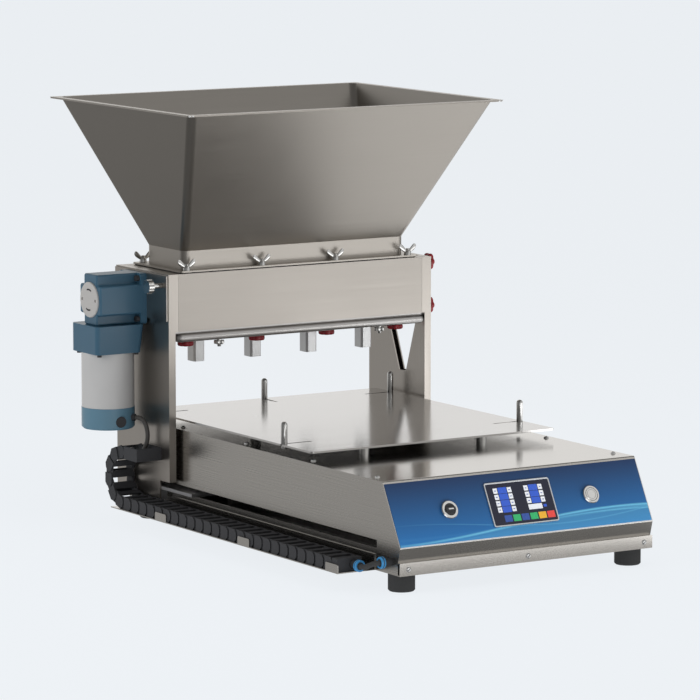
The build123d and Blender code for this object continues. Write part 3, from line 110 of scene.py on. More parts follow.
# A hand knob's radius, and each ring of it: its share of that radius and its height
KNOB_RADIUS = 14.0
KNOB_PROFILE = (
    (0.30, 0.0), (0.62, 0.2), (0.88, 1.0), (0.98, 2.4), (1.0, 4.5), (0.98, 7.0), (0.90, 8.6),
    (0.55, 9.2), (0.50, 11.0),
)

# Each ring of the screen's frame: its width, height, corner radius and lift
SCREEN_RINGS = (
    (116.0, 69.0, 4.0, 0.8), (116.0, 69.0, 4.0, 2.5), (115.2, 68.2, 3.6, 3.0),
    (112.0, 65.0, 2.4, 3.0), (111.0, 64.0, 2.0, 2.6), (111.0, 64.0, 2.0, 0.9),
)

# The selector's mark: half length, half width, thickness and lift over the slope
SELECTOR_MARK = (4.2, 0.9, 0.12, 8.5)

# The groove round the start button: inner and outer radius, height and lift over the slope
BUTTON_GROOVE = (6.9, 7.4, 0.08, 5.48)

# Each tile colour of the screen: its name and its colour
SCREEN_COLOURS = (
    ("field_blue", (0.03, 0.10, 0.55)), ("field_white", (0.80, 0.82, 0.86)),
    ("key_green", (0.03, 0.42, 0.14)), ("key_navy", (0.03, 0.08, 0.32)),
    ("key_amber", (0.80, 0.42, 0.03)), ("key_red", (0.75, 0.06, 0.05)),
)
BLUE, WHITE, GREEN, NAVY, AMBER, RED = range(6)

# Each release ring: its place and the directions of its own X and Z
FITTINGS = (((-245, 24, 46), (0, 1, 0), (1, 0, 0)), ((-261, 51, 38.5), (1, 0, 0), (0, 1, 0)))

# A release ring's profile: its radius and its height
RING_PROFILE = (
    (6.0, -0.2), (8.3, -0.2), (8.8, 0.5), (8.8, 2.0), (8.4, 2.4), (8.4, 3.6), (8.8, 4.0),
    (8.8, 5.5), (8.3, 6.2), (6.0, 6.2),
)

# How fast the film turns from its lower to its upper colour
FILM_POWER = 0.68

# Each glow of the sky: the direction it lies in, how wide it is and how bright
SKY_GLOWS = (
    ((0.53, 0.84, 0.14), 0.60, 0.78),
    ((0.53, -0.84, -0.05), 0.50, 0.46),
    ((-0.53, 0.84, -0.05), 0.65, 0.32),
    ((0.525, -0.60, 0.60), 0.90, 0.38),
    ((-0.60, -0.75, -0.10), 0.55, 0.10),
)
SKY_BASE = 0.12
SKY_UNDER = 0.15

# Between these heights of the direction, the sky fades to its dim underside
SKY_FADE = (-0.42, -0.12)

# The floor's own shade beside its light, and how far it lies under the feet
FLOOR_SHADE = 0.12
FLOOR_GAP = 0.0002

# Each lamp: its place, where it points, its size, its power and if steel mirrors it
LAMPS = (
    ("top_softbox", (0.2, -0.6, 2.4), (0.0, 0.0, 0.3), (2.2, 2.2), 14.0, False),
    ("left_softbox", (-2.6, 0.3, 1.2), (0.0, 0.0, 0.35), (1.8, 1.8), 22.0, False),
    ("floor_card", (1.26, -0.35, 0.02), (1.26, -0.35, 1.0), (1.9, 2.4), 9.5, True),
    ("front_card", (0.55, -1.25, 0.02), (0.55, -1.25, 1.0), (2.2, 1.3), 12.0, True),
)


# Node materials

class Finish:
    """A material in the making: its node tree, its shader and short ways to add nodes."""

    def __init__(self, name, colour, roughness, metallic=0.0):
        self.material = bpy.data.materials.new(name)
        self.material.use_nodes = True
        self.tree = self.material.node_tree
        self.shader = self.tree.nodes["Principled BSDF"]
        self.set("Base Color", (*colour, 1.0))
        self.set("Roughness", roughness)
        self.set("Metallic", metallic)
        self.place = self.add("ShaderNodeTexCoord").outputs["Object"]

    def add(self, kind, **settings):
        node = self.tree.nodes.new(kind)
        for key, value in settings.items():
            setattr(node, key, value)
        return node

    def set(self, socket, value):
        self.shader.inputs[socket].default_value = value

    def link(self, source, target):
        self.tree.links.new(source, target)

    def drive(self, socket, source):
        self.link(source, self.shader.inputs[socket])

    def maths(self, operation, *values):
        node = self.add("ShaderNodeMath", operation=operation)
        for i, value in enumerate(values):
            if isinstance(value, (int, float)):
                node.inputs[i].default_value = value
            else:
                self.link(value, node.inputs[i])
        return node.outputs[0]

    def noise(self, scale, stretch=(1.0, 1.0, 1.0), detail=2.0):
        mapping = self.add("ShaderNodeMapping")
        mapping.inputs["Scale"].default_value = stretch
        self.link(self.place, mapping.inputs["Vector"])
        noise = self.add("ShaderNodeTexNoise")
        noise.inputs["Scale"].default_value = scale
        noise.inputs["Detail"].default_value = detail
        self.link(mapping.outputs[0], noise.inputs["Vector"])
        return noise.outputs["Fac"]

    def spread(self, source, low, high, start=0.3, end=0.7):
        node = self.add("ShaderNodeMapRange")
        self.link(source, node.inputs["Value"])
        for i, value in enumerate((start, end, low, high)):
            node.inputs[i + 1].default_value = value
        return node.outputs["Result"]

    def between(self, source, colour_a, colour_b):
        node = self.add("ShaderNodeMix", data_type="RGBA")
        self.link(source, node.inputs["Factor"])
        for name, value in (("A", colour_a), ("B", colour_b)):
            socket = [s for s in node.inputs if s.name == name and s.type == "RGBA"][0]
            if isinstance(value, tuple):
                socket.default_value = (*value, 1.0)
            else:
                self.link(value, socket)
        return [s for s in node.outputs if s.type == "RGBA"][0]

    def bump(self, source, depth, strength=1.0):
        node = self.add("ShaderNodeBump")
        node.inputs["Distance"].default_value = depth
        node.inputs["Strength"].default_value = strength
        self.link(source, node.inputs["Height"])
        self.drive("Normal", node.outputs["Normal"])


def shade(colour, factor):
    return tuple(min(1.0, c * factor) for c in colour)


GRAINS = {"X": (6.0, 1400.0, 1400.0), "Y": (1400.0, 6.0, 1400.0), "Z": (1400.0, 1400.0, 6.0)}


def brushed_steel(
    name, colour, roughness, grain="X", wave=0.03, bump=4e-6, level=None, under=1.0, streak=1.0
):
    """Stainless sheet with a fine grain along one axis and a faint rolled unevenness.

    level is the roughness of its level faces, where that is another, under the share of its
    colour left on faces that look downward, as painted shade on undersides, and streak how
    strongly the grain changes the gloss.
    """
    finish = Finish(name, colour, roughness, 1.0)
    lines = finish.noise(1.0, GRAINS[grain], 2.0)
    clouds = finish.noise(5.0, detail=3.0)
    rough = finish.spread(lines, roughness - 0.04 * streak, roughness + 0.06 * streak)
    rough = finish.maths("ADD", rough, finish.spread(clouds, -wave, wave))
    axes = finish.add("ShaderNodeSeparateXYZ")
    finish.link(finish.add("ShaderNodeTexCoord").outputs["Normal"], axes.inputs[0])
    if level is not None:
        flat = finish.spread(finish.maths("ABSOLUTE", axes.outputs["Z"]), 0.0, 1.0, 0.9, 0.99)
        smooth = finish.maths("MULTIPLY", flat, roughness - level)
        rough = finish.maths("SUBTRACT", rough, smooth)
    finish.drive("Roughness", rough)
    tint = finish.between(clouds, shade(colour, 0.95), shade(colour, 1.04))
    # Painted shade: faces that look downward keep only the share under of the colour.
    if under < 1.0:
        underside_shade = finish.spread(axes.outputs["Z"], 1.0, 0.0, -0.9, -0.5)
        tint = finish.between(underside_shade, tint, shade(colour, under))
    finish.drive("Base Color", tint)
    finish.bump(lines, bump)
    return finish.material


def machined_steel(name, colour, roughness):
    """Turned or milled stainless with very fine tool marks."""
    finish = Finish(name, colour, roughness, 1.0)
    marks = finish.noise(900.0, detail=2.0)
    finish.drive("Roughness", finish.spread(marks, roughness - 0.05, roughness + 0.07))
    finish.bump(marks, 3e-6)
    return finish.material


def enamel(name, colour, roughness, peel=1.2e-5, coat=0.25):
    """Sprayed paint with a light orange peel and slightly uneven colour."""
    finish = Finish(name, colour, roughness)
    finish.set("Coat Weight", coat)
    finish.set("Coat Roughness", 0.25)
    peel_height = finish.noise(420.0, detail=2.0)
    clouds = finish.noise(14.0, detail=3.0)
    finish.drive("Base Color", finish.between(clouds, shade(colour, 0.92), shade(colour, 1.06)))
    finish.drive("Roughness", finish.spread(clouds, roughness - 0.05, roughness + 0.08))
    finish.bump(peel_height, peel)
    return finish.material


def moulded(name, colour, roughness, grain=700.0, depth=1.5e-5, gloss=0.5):
    """Moulded plastic or rubber with a fine texture."""
    finish = Finish(name, colour, roughness)
    finish.set("Specular IOR Level", gloss)
    texture = finish.noise(grain, detail=3.0)
    clouds = finish.noise(30.0, detail=2.0)
    finish.drive("Base Color", finish.between(clouds, shade(colour, 0.85), shade(colour, 1.15)))
    finish.drive("Roughness", finish.spread(texture, roughness - 0.06, roughness + 0.08))
    finish.bump(texture, depth)
    return finish.material


def clear_gloss(name, colour, roughness=0.12):
    """Smooth glossy plastic, with a little dust in its gloss."""
    finish = Finish(name, colour, roughness)
    dust = finish.noise(60.0, detail=3.0)
    finish.drive("Roughness", finish.spread(dust, roughness * 0.8, roughness * 1.4))
    return finish.material


def panel_film(settings):
    """The printed film of the control panel: deep blue to light blue, with soft light lines."""
    low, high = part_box("panel_overlay")
    finish = Finish("panel_film", settings.film_top, 0.32)
    axes = finish.add("ShaderNodeSeparateXYZ")
    finish.link(finish.place, axes.inputs[0])
    across = finish.spread(axes.outputs["X"], 0.0, 1.0, low.x, high.x)
    up = finish.spread(axes.outputs["Z"], 0.0, 1.0, low.z, high.z)
    colour = finish.between(
        finish.maths("POWER", up, FILM_POWER), tuple(settings.film_low), tuple(settings.film_top)
    )

    def wave(base, swing, turns, lag):
        turn = finish.maths("MULTIPLY_ADD", across, turns * math.tau, lag)
        return finish.maths("MULTIPLY_ADD", finish.maths("COSINE", turn), swing, base)

    swell = wave(0.15, -0.13, 0.57, 0.0)
    below = finish.spread(finish.maths("SUBTRACT", swell, up), 0.0, 0.22, 0.0, 0.05)
    colour = finish.between(below, colour, tuple(settings.film_line))
    for line, width, gain, start in (
        (swell, 0.026, 0.90, -0.2),
        (wave(0.22, 0.11, 0.75, 0.0), 0.014, 0.30, 0.0),
        (wave(0.17, -0.07, 0.62, -0.5), 0.030, 0.38, 0.45),
        (wave(0.13, -0.10, 0.66, -0.3), 0.016, 0.45, 0.30),
    ):
        offset = finish.maths("ABSOLUTE", finish.maths("SUBTRACT", up, line))
        glow = finish.spread(offset, gain, 0.0, 0.0, width)
        fade = finish.spread(across, 0.12, 1.0, start, start + 0.5)
        colour = finish.between(
            finish.maths("MULTIPLY", glow, fade), colour, tuple(settings.film_line)
        )
    finish.drive("Base Color", colour)
    finish.set("Specular IOR Level", 0.3)
    finish.set("Coat Weight", 0.08)
    finish.set("Coat Roughness", 0.1)
    finish.bump(finish.noise(1500.0), 3e-6)
    return finish.material


# Mesh helpers

def piece(name, bm, material, body, replaced=(), smooth=True):
    """A finished mesh object that rides on a body."""
    mesh = bpy.data.meshes.new(name)
    bmesh.ops.recalc_face_normals(bm, faces=bm.faces)
    bm.to_mesh(mesh)
    bm.free()
    for polygon in mesh.polygons:
        polygon.use_smooth = smooth
    obj = bpy.data.objects.new(name, mesh)
    bpy.context.scene.collection.objects.link(obj)
    for entry in material if isinstance(material, list) else [material]:
        mesh.materials.append(entry)
    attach(obj, body)
    if replaced:
        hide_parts(*replaced)
    return obj


def skin(bm, rings, place=Matrix.Identity(4), closed=False):
    """Adds a skin over rings of points. An open one gets caps, a closed one meets itself."""
    rows = [[bm.verts.new(place @ Vector(point)) for point in ring] for ring in rings]
    pairs = list(zip(rows, rows[1:]))
    if closed:
        pairs.append((rows[-1], rows[0]))
    for ring, above in pairs:
        for i in range(len(ring)):
            j = (i + 1) % len(ring)
            bm.faces.new((ring[i], ring[j], above[j], above[i]))
    if not closed:
        bm.faces.new(rows[0][::-1])
        bm.faces.new(rows[-1])


def turned(bm, profile, place=Matrix.Identity(4), segments=48, lobes=0, dent=0.0, closed=False):
    """Adds a body of revolution about its own Z. lobes and dent wave its radius."""
    rings = []
    for r, z in profile:
        ring = []
        for i in range(segments):
            angle = math.tau * i / segments
            wave = dent * (0.5 - 0.5 * math.cos(lobes * angle)) ** 1.4 if lobes else 0.0
            radius = r * (1.0 - wave)
            ring.append((radius * math.cos(angle), radius * math.sin(angle), z))
        rings.append(ring)
    skin(bm, rings, place, closed)


def lofted(bm, stations, place=Matrix.Identity(4), segments=16):
    """Adds a body along X and Z: each station is (x, z, half width, half thickness, lean)."""
    rings = []
    for x, z, wide, thick, lean in stations:
        ring = []
        for i in range(segments):
            angle = math.tau * i / segments
            along = wide * math.cos(angle)
            ring.append((
                x + along * math.cos(lean), thick * math.sin(angle), z + along * math.sin(lean)
            ))
        rings.append(ring)
    skin(bm, rings, place)


def rounded_rectangle(width, height, radius, z, steps=6):
    """The corners' arcs of a rectangle, as one ring of points."""
    ring = []
    for turn, side_x, side_y in ((0, 1, 1), (1, -1, 1), (2, -1, -1), (3, 1, -1)):
        centre_x = side_x * (width / 2 - radius)
        centre_y = side_y * (height / 2 - radius)
        for i in range(steps + 1):
            angle = math.pi / 2 * (turn + i / steps)
            ring.append((
                centre_x + radius * math.cos(angle), centre_y + radius * math.sin(angle), z
            ))
    return ring


def block(bm, low, high, place=Matrix.Identity(4), index=0):
    """Adds a box between two corners."""
    corners = [
        Vector((x, y, z)) for z in (low[2], high[2]) for y in (low[1], high[1])
        for x in (low[0], high[0])
    ]
    verts = [bm.verts.new(place @ c) for c in corners]
    for loop in ((0, 2, 3, 1), (4, 5, 7, 6), (0, 1, 5, 4), (2, 6, 7, 3), (0, 4, 6, 2), (1, 3, 7, 5)):
        face = bm.faces.new([verts[i] for i in loop])
        face.material_index = index


def soften(obj, width):
    """Rounds the sharp edges of a piece and keeps its flats flat."""
    bevel = obj.modifiers.new("Edge rounding", "BEVEL")
    bevel.width = width
    bevel.segments = 2
    bevel.limit_method = "ANGLE"
    bevel.angle_limit = math.radians(35.0)
    bevel.use_clamp_overlap = True
    bevel.harden_normals = False


def smooth_by_angle(obj, angle=35.0):
    """Keeps a crease where two faces meet at more than this many degrees."""
    obj.data.set_sharp_from_angle(angle=math.radians(angle))


def finish_node(name, material, rounding=0.0):
    """Gives a CAD node its finish and, where wanted, softly rounded edges."""
    node = NODES[name]
    node.data.materials.clear()
    node.data.materials.append(material)
    if rounding:
        soften(node, rounding)


def middle(name):
    low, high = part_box(name)
    return (low + high) / 2


def at(x, y, z):
    """A place in the row's frame, from the machine's own millimetres."""
    return MACHINE_ZERO + Vector((x, y, z)) * MM


def slope_axes():
    """The directions up the sloped front and out of it."""
    panel = settings().panel
    up = Vector((0.0, panel.slope_run, panel.slope_rise)).normalized()
    return up, Vector((0.0, -up.z, up.y))


def on_slope(x, s, lift=0.0):
    """A frame on the sloped front: X across, Y up the slope and Z out of it."""
    up, out = slope_axes()
    return axes_at(at(x, 0.0, SLOPE_FOOT_Z) + (up * s + out * lift) * MM, (1, 0, 0), out)


def axes_at(place, x_axis, z_axis):
    """A frame at a place, with its own X and Z along two directions."""
    z = Vector(z_axis).normalized()
    y = z.cross(Vector(x_axis)).normalized()
    x = y.cross(z)
    matrix = Matrix((x, y, z)).transposed().to_4x4()
    matrix.translation = place
    return matrix


# Settings that a user would change

class StageSettings(bpy.types.PropertyGroup):
    """Camera, light and floor."""
    azimuth: FloatProperty(
        name="Azimuth", description="Where the camera stands round the machine",
        default=math.radians(-32.056), subtype="ANGLE", unit="ROTATION",
    )
    elevation: FloatProperty(
        name="Elevation", description="How far the camera looks down",
        default=math.radians(7.747), subtype="ANGLE", unit="ROTATION",
    )
    distance: FloatProperty(
        name="Distance", description="Camera to target", default=6.3801, unit="LENGTH"
    )
    target: FloatVectorProperty(
        name="Target", description="Point in the middle of the picture",
        default=(-0.28635, -0.469, 0.3651), subtype="TRANSLATION",
    )
    lens: FloatProperty(
        name="Lens", description="Focal length in millimetres", default=229.8, min=10.0
    )
    floor_colour: FloatVectorProperty(
        name="Floor", description="Colour of the floor", default=(0.823, 0.855, 0.888),
        subtype="COLOR", size=3,
    )
    floor_glow: FloatProperty(
        name="Floor glow", description="Share of the floor's own light", default=0.97
    )
    floor_size: FloatProperty(
        name="Floor size", description="Half the floor's width", default=60.0, unit="LENGTH"
    )


class SteelSettings(bpy.types.PropertyGroup):
    """Colours of the stainless sheet and machined parts."""
    cover: FloatVectorProperty(
        name="Covers", description="Head covers and side frames",
        default=(0.49, 0.46, 0.425), subtype="COLOR", size=3,
    )
    hopper: FloatVectorProperty(
        name="Hopper", description="Hopper walls", default=(0.52, 0.49, 0.45),
        subtype="COLOR", size=3,
    )
    base: FloatVectorProperty(
        name="Base", description="Base shell and pan", default=(0.60, 0.58, 0.55),
        subtype="COLOR", size=3,
    )
    plate: FloatVectorProperty(
        name="Tray plate", description="Tray plate", default=(0.64, 0.63, 0.62),
        subtype="COLOR", size=3,
    )
    bright: FloatVectorProperty(
        name="Screws", description="Screws, pins and nuts", default=(0.78, 0.78, 0.77),
        subtype="COLOR", size=3,
    )


class PanelSettings(bpy.types.PropertyGroup):
    """Control panel and its screen."""
    film_top: FloatVectorProperty(
        name="Film, upper", description="Upper colour of the film",
        default=(0.013, 0.040, 0.118), subtype="COLOR", size=3,
    )
    film_low: FloatVectorProperty(
        name="Film, lower", description="Lower colour of the film",
        default=(0.028, 0.240, 0.640), subtype="COLOR", size=3,
    )
    film_line: FloatVectorProperty(
        name="Film lines", description="Colour of the light lines",
        default=(0.22, 0.72, 0.98), subtype="COLOR", size=3,
    )
    slope_run: FloatProperty(
        name="Slope run", description="Depth of the sloped front", default=0.0487, unit="LENGTH"
    )
    slope_rise: FloatProperty(
        name="Slope rise", description="Height of the sloped front", default=0.092, unit="LENGTH"
    )


class KnobSettings(bpy.types.PropertyGroup):
    """Hand knobs and nuts."""
    colour: FloatVectorProperty(
        name="Red", description="Colour of the clamping knobs", default=(0.30, 0.012, 0.02),
        subtype="COLOR", size=3,
    )
    lobes: IntProperty(name="Lobes", description="Lobes round a knob", default=6, min=3)
    dent: FloatProperty(
        name="Dent", description="Depth between the lobes, as a share of the radius",
        default=0.17, subtype="FACTOR",
    )


class MotorSettings(bpy.types.PropertyGroup):
    """Gearmotor."""
    paint: FloatVectorProperty(
        name="Paint", description="Colour of the gearhead and end cap",
        default=(0.046, 0.125, 0.195), subtype="COLOR", size=3,
    )
    # A lighter copy of the motor paint, painted light for the light the end cap catches from the
    # left and below.
    cap_lit_paint: FloatVectorProperty(
        name="End cap", description="Colour of the motor's end cap",
        default=(0.115, 0.235, 0.32), subtype="COLOR", size=3,
    )
    silver: FloatVectorProperty(
        name="Can", description="Colour of the motor can", default=(0.57, 0.56, 0.55),
        subtype="COLOR", size=3,
    )
    edge_round: FloatProperty(
        name="Edge rounding", description="Radius on the gearhead's edges", default=0.0008,
        unit="LENGTH",
    )


GROUPS = (
    ("stage", StageSettings), ("steel", SteelSettings), ("panel", PanelSettings),
    ("knob", KnobSettings), ("motor", MotorSettings),
)


class DepositorSettings(bpy.types.PropertyGroup):
    """All settings of the machine's looks."""
    stage: PointerProperty(type=StageSettings)
    steel: PointerProperty(type=SteelSettings)
    panel: PointerProperty(type=PanelSettings)
    knob: PointerProperty(type=KnobSettings)
    motor: PointerProperty(type=MotorSettings)


def settings():
    return bpy.context.scene.depositor


def shared(name, maker, *values, **more):
    """The material of that name, made on first use."""
    found = bpy.data.materials.get(name)
    return found or maker(name, *values, **more)


def black_plastic():
    return shared("black_plastic", moulded, (0.006, 0.006, 0.007), 0.5, gloss=0.14)


def black_rubber():
    return shared("black_rubber", moulded, (0.022, 0.022, 0.023), 0.68, grain=500.0)


def bright_steel():
    return shared("bright_steel", machined_steel, tuple(settings().steel.bright), 0.17)


def glint_white_finish(name):
    """Domed heads, whitened as a painted highlight for the light they catch from every side."""
    finish = Finish(name, (0.95, 0.95, 0.94), 0.3, 0.35)
    finish.drive("Roughness", finish.spread(finish.noise(700.0), 0.25, 0.35))
    return finish.material


def polished_steel():
    return shared("polished_steel", glint_white_finish)


def dull_steel():
    return shared("dull_steel", machined_steel, (0.55, 0.54, 0.53), 0.34)


# Operators, one for each group of pieces

class DEPOSITOR_OT_stage(bpy.types.Operator):
    """Make the floor, the light and the camera"""
    bl_idname = "depositor.stage"
    bl_label = "Stage"

    def execute(self, context):
        stage = settings().stage
        self.camera(context, stage)
        self.floor(context, stage)
        self.sky(context)
        self.lamps(context)
        context.scene.view_settings.view_transform = "Standard"
        return {"FINISHED"}

    def camera(self, context, stage):
        a, e = stage.azimuth, stage.elevation
        back = Vector((math.sin(a) * math.cos(e), -math.cos(a) * math.cos(e), math.sin(e)))
        data = bpy.data.cameras.new("camera")
        data.sensor_width = 36.0
        data.lens = stage.lens
        data.clip_end = 200.0
        camera = bpy.data.objects.new("camera", data)
        context.scene.collection.objects.link(camera)
        camera.location = Vector(stage.target) + back * stage.distance
        camera.rotation_mode = "QUATERNION"
        camera.rotation_quaternion = (-back).to_track_quat("-Z", "Y")
        context.scene.camera = camera

    def floor(self, context, stage):
        finish = Finish("floor", tuple(FLOOR_SHADE * c for c in stage.floor_colour), 0.9)
        finish.set("Specular IOR Level", 0.0)
        finish.set("Emission Color", (*stage.floor_colour, 1.0))
        finish.set("Emission Strength", stage.floor_glow)
        bm = bmesh.new()
        half = stage.floor_size
        corners = ((-half, -half), (half, -half), (half, half), (-half, half))
        bm.faces.new([bm.verts.new((x, y, CAD_LOW.z - FLOOR_GAP)) for x, y in corners])
        mesh = bpy.data.meshes.new("floor")
        bm.to_mesh(mesh)
        bm.free()
        mesh.materials.append(finish.material)
        floor = bpy.data.objects.new("floor", mesh)
        context.scene.collection.objects.link(floor)
        floor.visible_glossy = False

    def sky(self, context):
        """Soft studio surroundings, read mainly as reflections in the steel."""
        world = bpy.data.worlds.new("studio")
        context.scene.world = world
        world.use_nodes = True
        tree = world.node_tree
        background = tree.nodes["Background"]
        coords = tree.nodes.new("ShaderNodeTexCoord")
        direction = coords.outputs["Generated"]

        def ramp(value, low, high, start, end):
            node = tree.nodes.new("ShaderNodeMapRange")
            node.interpolation_type = "SMOOTHSTEP"
            for i, number in enumerate((start, end, low, high)):
                node.inputs[i + 1].default_value = number
            tree.links.new(value, node.inputs["Value"])
            return node.outputs["Result"]

        def maths(operation, a, b):
            node = tree.nodes.new("ShaderNodeMath")
            node.operation = operation
            for socket, value in zip(node.inputs, (a, b)):
                if isinstance(value, float):
                    socket.default_value = value
                else:
                    tree.links.new(value, socket)
            return node.outputs[0]

        total = None
        for toward, start, gain in SKY_GLOWS:
            dot = tree.nodes.new("ShaderNodeVectorMath")
            dot.operation = "DOT_PRODUCT"
            dot.inputs[1].default_value = Vector(toward).normalized()
            tree.links.new(direction, dot.inputs[0])
            glow = ramp(dot.outputs["Value"], 0.0, gain, start, 1.0)
            total = glow if total is None else maths("ADD", glow, total)
        height = tree.nodes.new("ShaderNodeSeparateXYZ")
        tree.links.new(direction, height.inputs[0])
        above = ramp(height.outputs["Z"], SKY_UNDER, 1.0, *SKY_FADE)
        total = maths("ADD", maths("MULTIPLY", total, above), SKY_BASE)
        background.inputs["Color"].default_value = (1.0, 0.99, 0.975, 1.0)
        tree.links.new(total, background.inputs["Strength"])

    def lamps(self, context):
        for name, place, aim, size, power, glossy in LAMPS:
            data = bpy.data.lights.new(name, "AREA")
            data.shape = "RECTANGLE"
            data.size, data.size_y = size
            data.energy = power
            lamp = bpy.data.objects.new(name, data)
            context.scene.collection.objects.link(lamp)
            lamp.location = place
            direction = Vector(aim) - Vector(place)
            lamp.rotation_mode = "QUATERNION"
            lamp.rotation_quaternion = direction.to_track_quat("-Z", "Y")
            lamp.visible_camera = False
            lamp.visible_glossy = glossy


class DEPOSITOR_OT_sheet_metal(bpy.types.Operator):
    """Finish the base, the frames, the covers and the hopper"""
    bl_idname = "depositor.sheet_metal"
    bl_label = "Sheet metal"

    def execute(self, context):
        steel = settings().steel
        base = brushed_steel(
            "base_steel", tuple(steel.base), 0.27, "Y", 0.01, 6e-7, level=0.13, streak=0.25
        )
        cover = brushed_steel("cover_steel", tuple(steel.cover), 0.36, "X")
        frame_steel = brushed_steel("frame_steel", shade(tuple(steel.cover), 1.14), 0.33, "Z")
        hopper = brushed_steel("hopper_steel", tuple(steel.hopper), 0.36, "X")
        # The plate's undersides are painted shade, kept at 0.12 of its colour so the gap under it
        # reads black.
        plate = brushed_steel("plate_steel", tuple(steel.plate), 0.15, "X", 0.01, 1e-6, under=0.12)
        for name, material in (
            ("base_shell", base), ("base_pan", base), ("chain_tray", base),
            ("head_covers", cover), ("head_top_plate", cover), ("motor_plate", frame_steel),
            ("side_frames", frame_steel), ("hopper", hopper), ("tray_plate", plate),
            ("chain_end_bracket", black_plastic()),
        ):
            finish_node(name, material)
        return {"FINISHED"}


class DEPOSITOR_OT_inner_parts(bpy.types.Operator):
    """Finish the machined parts, rails, belt and drives"""
    bl_idname = "depositor.inner_parts"
    bl_label = "Inner parts"

    def execute(self, context):
        alloy = shared("alloy", machined_steel, (0.66, 0.67, 0.69), 0.38)
        bronze = shared("bronze", machined_steel, (0.60, 0.38, 0.15), 0.30)
        black_paint = shared("black_paint", enamel, (0.02, 0.02, 0.022), 0.4)
        for material, names in (
            (dull_steel(), (
                "guide_rails", "bearing_blocks", "valve_body", "valve_rotor", "pistons",
                "crosshead", "drive_shaft", "nozzle_plate",
            )),
            (shared("nozzle_steel", machined_steel, (0.80, 0.81, 0.82), 0.42), ("nozzles",)),
            (alloy, ("carriage", "drive_pulley", "idler_pulley", "pulley_brackets")),
            (bronze, ("shaft_bearings",)),
            (black_paint, ("travel_stepper",)),
            (black_rubber(), ("piston_seals", "hopper_gasket", "travel_belt", "rubber_feet")),
            (bright_steel(), ("base_screws", "tray_posts", "left_clamp_screw")),
        ):
            for name in names:
                finish_node(name, material)
        return {"FINISHED"}


